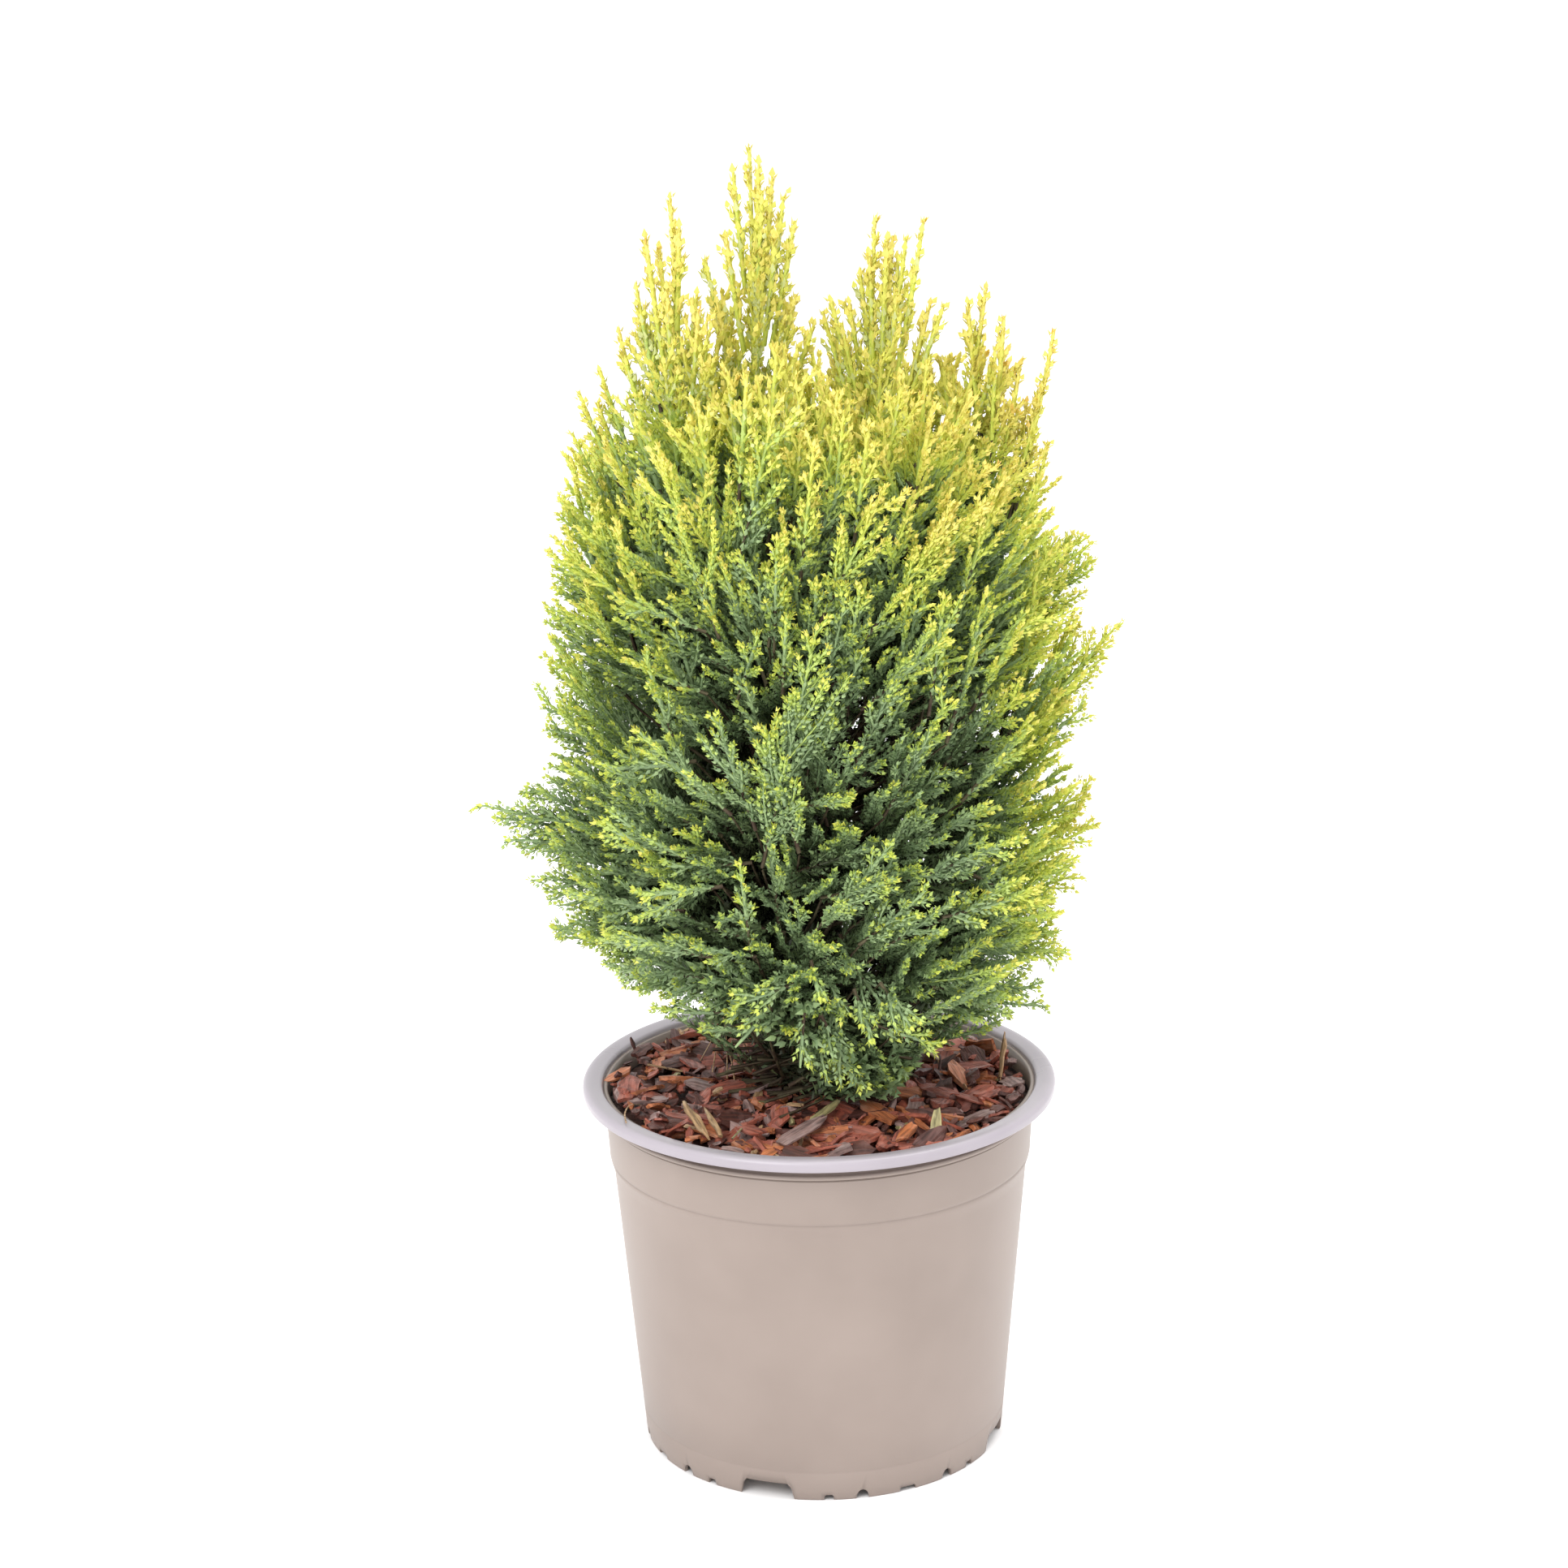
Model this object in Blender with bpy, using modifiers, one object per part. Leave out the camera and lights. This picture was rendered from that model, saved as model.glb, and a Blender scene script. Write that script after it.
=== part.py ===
"""Potted lawson cypress: a dense, upright young conifer in a 19 cm nursery pot.

Axes: +Z up, +X to the right of the front view, and the front faces -Y.
Origin: the centre of the pot's flat underside. Every size is in metres.
"""

import math
import random

import bmesh
import bpy
from mathutils import Vector
from mathutils.bvhtree import BVHTree

MM = 0.001
TURN = 2 * math.pi
GOLDEN_TURN = math.radians(137.5)
TOUCH_GAP = 0.3 * MM
MERGE = 0.02 * MM

# Pot: outer radii, heights above the floor, and the thickness of the moulding.
POT_HEIGHT = 152.1 * MM
RIM_RADIUS = 95 * MM
RIM_INNER_RADIUS = 87.2 * MM
LIP_BOTTOM = 147.4 * MM
BASE_RADIUS = 73.1 * MM
STEP_BOTTOM = (83.2 * MM, 116 * MM)
STEP_TOP = (84.8 * MM, 122 * MM)
COLLAR_TOP = (86.2 * MM, 143 * MM)
WALL = 1.3 * MM
FLOOR = 9 * MM
BOSS_RADIUS = 26 * MM
POT_SIDES = 32

# Notches in the foot: quadrants of the same pattern, turned to match the front view.
NOTCH_QUADRANT = math.radians(26.6)
SLOT = (23 * MM, 7 * MM)
SMALL_NOTCH = (4 * MM, 2.4 * MM)
ARCH = (5.2 * MM, 4 * MM)
SHALLOW_NOTCH = (8 * MM, 2 * MM)

# Filling
SOIL_TOP = 126 * MM
MULCH_LEVEL = 138 * MM
MULCH_RELIEF = 2.6 * MM
MULCH_SEAT = 14 * MM
MULCH_RINGS = 3

# Trunk: the centre line from the cut at ground level to the tip.
TRUNK_LINE = [
    Vector((-5, 2, 0)) * MM + Vector((0, 0, MULCH_LEVEL + TOUCH_GAP)),
    Vector((-6, 2, 150)) * MM,
    Vector((-9, 1, 172)) * MM,
    Vector((-14, 1, 210)) * MM,
    Vector((-18, 2, 265)) * MM,
    Vector((-20, 3, 320)) * MM,
    Vector((-20, 4, 362)) * MM,
]
TRUNK_FOOT_RADIUS = 5.4 * MM
TRUNK_TIP_RADIUS = 1.2 * MM
ROOT_FLARE = 4.2 * MM
FLARE_HEIGHT = 7 * MM

# Boughs
BOUGH_ROOT_RADIUS = 1.9 * MM
BOUGH_TIP_RADIUS = 0.9 * MM
BOUGH_BENDS = 3
LAST_STRETCH = 2.5 * MM
STEM_ROOT_RADIUS = 0.9 * MM
STEM_END_RADIUS = 1.35 * MM

# Crown: half-widths of the outline at their heights, from the lowest spray to the shoulder.
CROWN_OUTLINE = [
    (142, 36), (160, 60), (180, 76), (205, 96), (235, 104), (290, 104),
    (345, 104), (390, 97), (428, 88), (445, 74), (470, 48), (500, 20),
]
CELL_MARGIN = 0.7 * MM
CORE_MARGIN = 1.1 * MM
LIMB_CLEARANCE = 0.8 * MM
CORE_LIMB_GAP = 1.6 * MM
SETTLING_ROUNDS = 30
SETTLING_STEP = 0.93
FOLIAGE_FLOOR = MULCH_LEVEL + MULCH_RELIEF + 1.2 * MM

# Tiers of foliage, from the skirt up. Each tier fills the space between two cones about the
# crown's axis: "rise" is where its lower cone meets the axis, "slope" is that cone's steepness,
# "core" is how much of the outline its cores fill, "sprays" is how many stand out of each core,
# "spray" gives a short and a long spray's length and their width, and "twist" is how far a
# spray's face may turn away from looking outwards.
TIERS = [
    {"name": "skirt", "rise": 120, "slope": 0.0, "turn": 36, "bough_foot": 153, "lift": -4,
     "core": 0.74, "sprays": 4, "spray": (34, 46, 26), "twist": 0.7},
    {"name": "lower", "rise": 166, "slope": 0.36, "turn": 0, "bough_foot": 168, "lift": 16,
     "core": 0.68, "sprays": 7, "spray": (48, 62, 32), "twist": 0.7},
    {"name": "middle", "rise": 196, "slope": 0.68, "turn": 36, "bough_foot": 196, "lift": 36,
     "core": 0.66, "sprays": 7, "spray": (54, 70, 34), "twist": 0.7},
    {"name": "upper", "rise": 232, "slope": 1.08, "turn": 0, "bough_foot": 226, "lift": 54,
     "core": 0.64, "sprays": 8, "spray": (54, 70, 34), "twist": 0.7},
]
LEADER_CONE = {"rise": 296, "slope": 1.38}
BOUGH_REACH = 29 * MM
CORE_INNER_RADIUS = 33 * MM
SECTORS = 5
HALF_SECTOR = TURN / SECTORS / 2
SECTOR_NAMES = {
    180: "left", 252: "front_left", 324: "front_right", 36: "back_right", 108: "back_left",
    216: "front_left", 288: "front_right", 0: "right", 72: "back_right", 144: "back_left",
}

# Leaders above the tiers: the azimuth and height where the bough leaves the trunk, the bough's
# tip, the leader's own tip and how far its side sprays spread.
LEADERS = {
    "centre": {"azimuth": 0, "foot": 0, "bough": (-20, 4, 362), "tip": (-20.5, 4, 522), "plume": 24},
    "left": {"azimuth": 198, "foot": 184, "bough": (-46, -12, 368), "tip": (-50.3, -12, 505), "plume": 28},
    "right": {"azimuth": 342, "foot": 184, "bough": (20, 0, 332), "tip": (25, 2, 495), "plume": 28},
    "far_right": {"azimuth": 18, "foot": 178, "bough": (56, 10, 380), "tip": (67, 6, 471), "plume": 28},
    "back": {"azimuth": 90, "foot": 190, "bough": (10, 44, 364), "tip": (12, 48, 474), "plume": 32},
    "back_left": {"azimuth": 112, "foot": 238, "bough": (-38, 38, 375), "tip": (-42, 42, 466), "plume": 32},
    "front": {"azimuth": 284, "foot": 204, "bough": (-8, -42, 362), "tip": (-8, -50, 454), "plume": 32},
    "front_right": {"azimuth": 306, "foot": 212, "bough": (38, -36, 373), "tip": (44, -44, 448),
                    "plume": 32},
}
LEADER_BOUGH_LIFT = math.radians(62)
LEADER_RULE = {"sprays": 6, "spray": (44, 58, 24), "twist": 1.6}
LEADER_CORE = {"widest": 23 * MM, "tip": 2.5 * MM, "spread": 0.21, "top": 8 * MM, "outline": 0.86}
LEADER_SIDES = 7
LEADER_LEVELS = 4
LEADER_ROUGHNESS = 0.14

# Sprays that stand out of the outline, by mass.
LONG_SPRAYS = {
    "lower_left": [(-134, -2, 267), (-114, -12, 236)],
    "skirt_front_left": [(-96, -52, 214)],
    "middle_right": [(118, -6, 336), (109, 4, 300)],
    "skirt_right": [(98, 0, 199)],
    "lower_front_right": [(96, -52, 262)],
    "leader_far_right": [(92, 2, 445)],
    "leader_right": [(43.5, -2, 491)],
    "leader_left": [(-60, -12, 488)],
    "leader_centre": [(-29, 4, 511), (-8, 4, 508)],
    "skirt_front_right": [(16, -62, 146)],
}

# Sprays
ROOT_DEPTH = 0.12
TIP_CANDIDATES = 90
SHOULDER_HEIGHT = 452 * MM
SPRAY_THICKNESS = 2.6 * MM
SPRAY_ROOT_WIDTH = 2.2 * MM
SPRAY_TEETH = 3
FIRST_TOOTH = 0.12
TOOTH_STEP = 0.25
NOTCH_SPREAD = 0.38
SPRAY_ARCH = 0.05

COLOURS = {
    "pot": ((0.55, 0.43, 0.36), 0.42),
    "potting_soil": ((0.05, 0.03, 0.02), 0.95),
    "bark_mulch": ((0.16, 0.06, 0.035), 0.85),
    "bark": ((0.2, 0.1, 0.05), 0.8),
    "skirt": ((0.09, 0.2, 0.09), 0.6),
    "lower": ((0.1, 0.23, 0.09), 0.6),
    "middle": ((0.17, 0.33, 0.08), 0.6),
    "upper": ((0.33, 0.46, 0.07), 0.6),
    "leader": ((0.5, 0.55, 0.09), 0.6),
}


def clear_scene():
    for old in list(bpy.data.objects):
        bpy.data.objects.remove(old, do_unlink=True)


def make_collection(name):
    collection = bpy.data.collections.new(name)
    bpy.context.scene.collection.children.link(collection)
    return collection


def make_materials():
    materials = {}
    for name, (colour, roughness) in COLOURS.items():
        material = bpy.data.materials.new(name)
        material.use_nodes = True
        shader = material.node_tree.nodes["Principled BSDF"]
        shader.inputs["Base Color"].default_value = (*colour, 1)
        shader.inputs["Roughness"].default_value = roughness
        shader.inputs["Metallic"].default_value = 0
        materials[name] = material
    return materials


def add_object(name, mesh, collection, material=None):
    made = bpy.data.objects.new(name, mesh)
    collection.objects.link(made)
    if material is not None:
        made.data.materials.append(material)
    return made


def evaluated_mesh(source):
    """The object's mesh with its modifiers or bevel applied, as the viewport shows it."""
    graph = bpy.context.evaluated_depsgraph_get()
    return bpy.data.meshes.new_from_object(source.evaluated_get(graph))


def on_line(start, end, height):
    """The radius at a height on the straight line between two (radius, height) points."""
    share = (height - start[1]) / (end[1] - start[1])
    return start[0] + share * (end[0] - start[0])


def pot_radius(height):
    """Outer radius of the pot's wall: a tapered body, a small step, then the collar."""
    if height <= STEP_BOTTOM[1]:
        return on_line((BASE_RADIUS, 0), STEP_BOTTOM, height)
    if height <= STEP_TOP[1]:
        return on_line(STEP_BOTTOM, STEP_TOP, height)
    return on_line(STEP_TOP, COLLAR_TOP, height)


def turned(name, profile, collection, material):
    """A solid of revolution about +Z: the profile runs down its outer side."""
    mesh = bpy.data.meshes.new(name)
    points = [(radius, 0, height) for radius, height in profile]
    edges = [(k, k + 1) for k in range(len(points) - 1)]
    mesh.from_pydata(points, edges, [])
    made = add_object(name, mesh, collection, material)
    screw = made.modifiers.new("turn", "SCREW")
    screw.steps = POT_SIDES
    screw.render_steps = POT_SIDES
    screw.use_merge_vertices = True
    screw.merge_threshold = MERGE
    return made


def pot_profile():
    """From the floor's middle up the inside, over the rolled rim and down to the notched foot."""
    inside = [(0, WALL), (BOSS_RADIUS - WALL, WALL), (BOSS_RADIUS + 3 * MM, FLOOR)]
    for height in (FLOOR, STEP_BOTTOM[1], STEP_TOP[1], COLLAR_TOP[1]):
        inside.append((pot_radius(height) - WALL, height))
    rim = [
        (RIM_INNER_RADIUS, POT_HEIGHT - 0.9 * MM),
        (RIM_INNER_RADIUS + 1.6 * MM, POT_HEIGHT),
        (RIM_RADIUS - 1.8 * MM, POT_HEIGHT),
        (RIM_RADIUS, POT_HEIGHT - 2 * MM),
        (RIM_RADIUS - 0.3 * MM, LIP_BOTTOM),
        (RIM_RADIUS - 1.5 * MM, LIP_BOTTOM),
        (RIM_RADIUS - 2.4 * MM, POT_HEIGHT - 1.7 * MM),
        (COLLAR_TOP[0] + 1.2 * MM, POT_HEIGHT - 1.9 * MM),
    ]
    outside = [(pot_radius(height), height) for height in (COLLAR_TOP[1], STEP_TOP[1], STEP_BOTTOM[1], 0)]
    foot = [
        (BASE_RADIUS - WALL, 0),
        (pot_radius(FLOOR) - 1.8 * WALL, FLOOR - WALL),
        (BOSS_RADIUS + 3.6 * MM, FLOOR - WALL),
        (BOSS_RADIUS + 0.6 * MM, 0),
        (0, 0),
    ]
    return inside + rim + outside + foot


def notch_block(name, azimuth, width, height, narrowing, collection):
    """A cutter through the foot at an azimuth from the front, narrower at its top."""
    mesh = bpy.data.meshes.new(name)
    shape = bmesh.new()
    bmesh.ops.create_cube(shape, size=1)
    for corner in shape.verts:
        top = corner.co.z > 0
        corner.co.x *= width * (narrowing if top else 1)
        corner.co.y *= 12 * MM
        corner.co.z = height if top else -2 * MM
    shape.to_mesh(mesh)
    shape.free()
    return place_notch(add_object(name, mesh, collection), azimuth)


def notch_arch(name, azimuth, width, height, collection):
    """A half-round cutter through the foot."""
    mesh = bpy.data.meshes.new(name)
    shape = bmesh.new()
    bmesh.ops.create_cone(
        shape, cap_ends=True, segments=10, radius1=width / 2, radius2=width / 2, depth=12 * MM
    )
    for corner in shape.verts:
        x, y, z = corner.co
        corner.co = (x, z, y * height / (width / 2))
    bmesh.ops.recalc_face_normals(shape, faces=shape.faces)
    shape.to_mesh(mesh)
    shape.free()
    return place_notch(add_object(name, mesh, collection), azimuth)


def place_notch(cutter, azimuth):
    cutter.location = (BASE_RADIUS * math.sin(azimuth), -BASE_RADIUS * math.cos(azimuth), 0)
    cutter.rotation_euler.z = azimuth
    cutter.hide_render = True
    cutter.display_type = "WIRE"
    return cutter


def build_pot(collection, cutters, material):
    """A thin moulded pot with a rolled rim, a stepped collar and a notched foot."""
    pot = turned("pot", pot_profile(), collection, material)
    for quadrant in range(4):
        middle = NOTCH_QUADRANT + quadrant * TURN / 4
        notch_block(f"slot_{quadrant}", middle + TURN / 8, *SLOT, 0.8, cutters)
        notch_block(f"shallow_notch_{quadrant}", middle, *SHALLOW_NOTCH, 0.8, cutters)
        for side in (-1, 1):
            small = middle + side * math.radians(25.5)
            notch_block(f"small_notch_{quadrant}_{side + 1}", small, *SMALL_NOTCH, 0.8, cutters)
            arch = middle + side * math.radians(15)
            notch_arch(f"arch_{quadrant}_{side + 1}", arch, *ARCH, cutters)
    cut = pot.modifiers.new("notches", "BOOLEAN")
    cut.operation = "DIFFERENCE"
    cut.solver = "EXACT"
    cut.operand_type = "COLLECTION"
    cut.collection = cutters
    return pot


def filling_radius(height):
    """The radius of what fills the pot, clear of the wall at the middle of its flats too."""
    return (pot_radius(height) - WALL - TOUCH_GAP) * math.cos(math.pi / POT_SIDES)


def build_soil(collection, material):
    """The root ball and its potting soil, which fill the pot up to the mulch."""
    profile = [(0, SOIL_TOP)]
    for height in (SOIL_TOP, STEP_TOP[1], STEP_BOTTOM[1], FLOOR + TOUCH_GAP):
        profile.append((filling_radius(height), height))
    profile.append((BOSS_RADIUS + 2.8 * MM, FLOOR + TOUCH_GAP))
    profile.append((BOSS_RADIUS - WALL - TOUCH_GAP, WALL + TOUCH_GAP))
    profile.append((0, WALL + TOUCH_GAP))
    return turned("potting_soil", profile, collection, material)


def build_mulch(collection, material):
    """The bark mulch: a layer with a rough top and a flat seat for the trunk."""
    bottom = SOIL_TOP + TOUCH_GAP
    outer = filling_radius(bottom)
    profile = [(0, MULCH_LEVEL), (MULCH_SEAT, MULCH_LEVEL)]
    for ring in range(1, MULCH_RINGS):
        profile.append((MULCH_SEAT + (outer - MULCH_SEAT) * ring / MULCH_RINGS, MULCH_LEVEL))
    profile.append((outer, MULCH_LEVEL))
    profile.append((outer, bottom))
    profile.append((0, bottom))
    source = turned("bark_mulch", profile, collection, material)
    mesh = evaluated_mesh(source)
    rough = random.Random(5)
    for point in mesh.vertices:
        radius = math.hypot(point.co.x, point.co.y)
        if point.co.z > MULCH_LEVEL - MM and radius > MULCH_SEAT + MM:
            point.co.z += rough.uniform(-1, 1) * MULCH_RELIEF
    source.modifiers.clear()
    source.data = mesh
    return source


def curve_point(points, place):
    """A smooth curve through the points, read at a place from 0 to its last point's number."""
    k = min(int(place), len(points) - 2)
    t = place - k
    before = points[max(k - 1, 0)]
    after = points[min(k + 2, len(points) - 1)]
    start, end = points[k], points[k + 1]
    leave = (end - before) / 2
    arrive = (after - start) / 2
    return (
        start * (1 - 3 * t * t + 2 * t * t * t)
        + leave * (t - 2 * t * t + t * t * t)
        + end * (3 * t * t - 2 * t * t * t)
        + arrive * (t * t * t - t * t)
    )


def trunk_at(height):
    """The trunk's centre at a height, found along its curve."""
    low, high = 0, len(TRUNK_LINE) - 1
    for _ in range(30):
        middle = (low + high) / 2
        if curve_point(TRUNK_LINE, middle).z < height:
            low = middle
        else:
            high = middle
    return curve_point(TRUNK_LINE, low)


def trunk_radius(height):
    """A true taper with a root flare at the ground."""
    foot = TRUNK_LINE[0].z
    share = (height - foot) / (TRUNK_LINE[-1].z - foot)
    taper = TRUNK_TIP_RADIUS + (TRUNK_FOOT_RADIUS - TRUNK_TIP_RADIUS) * (1 - share) ** 0.9
    return taper + ROOT_FLARE * math.exp(-(height - foot) / FLARE_HEIGHT)


def limb(name, points, radii, resolution, collection, material):
    """A tapering limb: a tube along the points, with its ends capped."""
    curve = bpy.data.curves.new(name, "CURVE")
    curve.dimensions = "3D"
    curve.bevel_depth = MM
    curve.bevel_resolution = resolution
    curve.use_fill_caps = True
    spline = curve.splines.new("POLY")
    spline.points.add(len(points) - 1)
    for point, place, radius in zip(spline.points, points, radii):
        point.co = (*place, 1)
        point.radius = radius / MM
    return add_object(name, curve, collection, material)


def build_trunk(collection, material):
    foot = TRUNK_LINE[0]
    heights = [0, 4, 9, 16, 28, 46, 76, 112, 150, 188]
    points = [trunk_at(foot.z + rise * MM) for rise in heights]
    points[0] = Vector((points[1].x, points[1].y, foot.z))
    points.append(TRUNK_LINE[-1])
    radii = [trunk_radius(point.z) for point in points]
    return limb("trunk", points, radii, 3, collection, material)


def direction(azimuth, lift=0.0):
    """A unit vector at an azimuth from +X towards +Y, lifted above the level."""
    flat = math.cos(lift)
    return Vector((flat * math.cos(azimuth), flat * math.sin(azimuth), math.sin(lift)))


def bough_path(azimuth, foot_height, tip, arrive):
    """Out of the trunk level, then up in one bend to the tip, which it reaches along "arrive"."""
    trunk = trunk_at(foot_height)
    grain = (trunk_at(foot_height + 2 * MM) - trunk).normalized()
    level = direction(azimuth)
    outward = (level - grain * level.dot(grain)).normalized()
    start = trunk + outward * (trunk_radius(foot_height - BOUGH_ROOT_RADIUS) + TOUCH_GAP)
    reach = (tip - start).length
    path = [start, start + outward * 1.6 * MM]
    last_stretch = tip - arrive * LAST_STRETCH
    handle_a = path[1] + (outward * 0.8 + Vector((0, 0, 0.6))) * reach * 0.28
    handle_b = last_stretch - arrive * reach * 0.34
    for k in range(1, BOUGH_BENDS + 1):
        t = k / BOUGH_BENDS
        s = 1 - t
        leaving = path[1] * s ** 3 + handle_a * 3 * s * s * t
        path.append(leaving + handle_b * 3 * s * t * t + last_stretch * t ** 3)
    path.append(tip)
    return path


def build_bough(name, path, collection, material):
    thinning = (BOUGH_ROOT_RADIUS - BOUGH_TIP_RADIUS) / (len(path) - 1)
    radii = [BOUGH_ROOT_RADIUS - k * thinning for k in range(len(path))]
    return limb(name, path, radii, 1, collection, material)


def crown_radius(height, azimuth):
    """The outline's half-width, with a slight unevenness round the crown."""
    level = height / MM
    below = CROWN_OUTLINE[0]
    width = CROWN_OUTLINE[-1][1] if level > below[0] else below[1]
    for above in CROWN_OUTLINE[1:]:
        if below[0] <= level <= above[0]:
            width = below[1] + (above[1] - below[1]) * (level - below[0]) / (above[0] - below[0])
            break
        below = above
    uneven = 0.02 * math.sin(3 * azimuth + 0.4) - 0.03 * math.sin(azimuth) ** 2
    return width * (1 + uneven) * MM


def outline_at(point):
    return crown_radius(point.z, math.atan2(point.y, point.x))


def axis_distance(point):
    return math.hypot(point.x, point.y)


def rise_above_cone(point, cone):
    """How far a point lies above a cone about the crown's axis."""
    return point.z - cone["rise"] * MM - cone["slope"] * axis_distance(point)


def turn_between(one, other):
    """The signed angle from one azimuth to another."""
    return (other - one + math.pi) % TURN - math.pi


class TierSpace:
    """The space of one tier mass: between two cones, within one sector."""

    def __init__(self, tier, azimuth):
        self.lower = TIERS[tier]
        self.upper = TIERS[tier + 1] if tier + 1 < len(TIERS) else LEADER_CONE
        self.azimuth = azimuth

    def holds(self, point, margin=CELL_MARGIN):
        radius = axis_distance(point)
        if rise_above_cone(point, self.lower) < margin * 1.5:
            return False
        if rise_above_cone(point, self.upper) > -margin * 2:
            return False
        if point.z < FOLIAGE_FLOOR:
            return False
        off = abs(turn_between(self.azimuth, math.atan2(point.y, point.x)))
        return off < HALF_SECTOR and radius * math.sin(HALF_SECTOR - off) > margin


class LeaderSpace:
    """The space of one leader: above the tiers, nearer to its own line than to the others'."""

    def __init__(self, name):
        self.own = name

    def holds(self, point, margin=CELL_MARGIN):
        if rise_above_cone(point, LEADER_CONE) < margin * 2:
            return False
        mine = distance_to_leader(point, self.own)
        others = [distance_to_leader(point, name) for name in LEADERS if name != self.own]
        return mine + 2 * margin < min(others)


def distance_to_leader(point, name):
    """The distance from a leader's line, measured level."""
    low = Vector(LEADERS[name]["bough"]) * MM
    high = Vector(LEADERS[name]["tip"]) * MM
    share = min(max((point.z - low.z) / (high.z - low.z), -0.5), 1)
    on_axis = low + (high - low) * share
    return math.hypot(point.x - on_axis.x, point.y - on_axis.y)


def tree_of(objects, inflate=0.0):
    """A search tree over the limbs' surfaces, each pushed out by "inflate"."""
    points, faces = [], []
    for source in objects:
        mesh = evaluated_mesh(source)
        first = len(points)
        points.extend(point.co + point.normal * inflate for point in mesh.vertices)
        faces.extend([first + k for k in face.vertices] for face in mesh.polygons)
        bpy.data.meshes.remove(mesh)
    return BVHTree.FromPolygons(points, faces)


def clear_of_limbs(point, limbs):
    return limbs.find_nearest(point, CORE_LIMB_GAP)[0] is None


def shape_mesh(name, shape):
    bmesh.ops.triangulate(shape, faces=shape.faces)
    bmesh.ops.recalc_face_normals(shape, faces=shape.faces)
    mesh = bpy.data.meshes.new(name)
    shape.to_mesh(mesh)
    shape.free()
    return mesh


def plume_width(place):
    """Half the plume's width along its length, as a share of its widest."""
    return math.sin(math.pi * place ** 0.85)


def toothed_blade(name, root, tip, face, width):
    """One spray: a blade with a raised rib on each face, whose teeth are its side shoots."""
    along = tip - root
    length = along.length
    side = along.cross(face).normalized()
    face = side.cross(along).normalized()

    def place(u, v, w):
        arch = SPRAY_ARCH * length * 4 * u * (1 - u)
        return root + along * u + side * v + face * (w + arch)

    shape = bmesh.new()
    starts = [FIRST_TOOTH + TOOTH_STEP * k for k in range(SPRAY_TEETH + 1)]
    ribs = {}
    for up in (-1, 1):
        ribs[up] = [
            shape.verts.new(place(u, 0, up * SPRAY_THICKNESS / 2 * (1 - 0.5 * u)))
            for u in [0] + starts[1:]
        ]
    apex = shape.verts.new(place(1, 0, 0))
    roots = []
    for hand in (-1, 1):
        notches = [shape.verts.new(place(0, hand * SPRAY_ROOT_WIDTH / 2, 0))]
        teeth = []
        for k in range(SPRAY_TEETH):
            reach = starts[k] + TOOTH_STEP
            teeth.append(shape.verts.new(place(reach, hand * width / 2 * plume_width(reach), 0)))
            inner = hand * width / 2 * NOTCH_SPREAD * plume_width(starts[k + 1])
            notches.append(shape.verts.new(place(starts[k + 1], inner, 0)))
        roots.append(notches[0])
        for up in (-1, 1):
            for k in range(SPRAY_TEETH):
                shape.faces.new([ribs[up][k], notches[k], teeth[k], notches[k + 1], ribs[up][k + 1]])
            shape.faces.new([ribs[up][-1], notches[-1], apex])
    shape.faces.new([ribs[1][0], roots[0], ribs[-1][0], roots[1]])
    return shape_mesh(name, shape)


def stem_twig(name, start, arrive, end):
    """A mass's three-sided stem: its root faces the bough's tip squarely."""
    shape = bmesh.new()
    rings = []
    for centre, along, radius in ((start, arrive, STEM_ROOT_RADIUS), (end, end - start, STEM_END_RADIUS)):
        side = along.cross(Vector((0.3, -0.2, 1))).normalized()
        other = along.cross(side).normalized()
        corners = [side * math.cos(TURN * k / 3) + other * math.sin(TURN * k / 3) for k in range(3)]
        rings.append([shape.verts.new(centre + corner * radius) for corner in corners])
    for k in range(3):
        shape.faces.new([rings[0][k], rings[0][k - 2], rings[1][k - 2], rings[1][k]])
    shape.faces.new(rings[0])
    shape.faces.new(rings[1])
    return shape_mesh(name, shape)


def cone_height(cone, radius):
    return cone["rise"] * MM + cone["slope"] * radius


def wedge_core(space, share, rough):
    """The core of a tier mass: a rounded block bent to the space between its cones and sides."""
    shape = bmesh.new()
    bmesh.ops.create_cube(shape, size=2)
    bmesh.ops.subdivide_edges(shape, edges=shape.edges[:], cuts=1, use_grid_fill=True)
    for point in shape.verts:
        rounded = point.co * 0.66 + point.co.normalized() * 0.44
        across, deep, high = rounded * rough.uniform(0.84, 1)
        azimuth = space.azimuth + across * HALF_SECTOR
        height = MULCH_LEVEL
        for _ in range(8):
            outer = share * crown_radius(height, azimuth)
            radius = CORE_INNER_RADIUS + (outer - CORE_INNER_RADIUS) * (deep + 1) / 2
            low = max(cone_height(space.lower, radius), FOLIAGE_FLOOR)
            height = low + (cone_height(space.upper, radius) - low) * (high + 1) / 2
        point.co = direction(azimuth) * radius + Vector((0, 0, height))
    return shape


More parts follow.
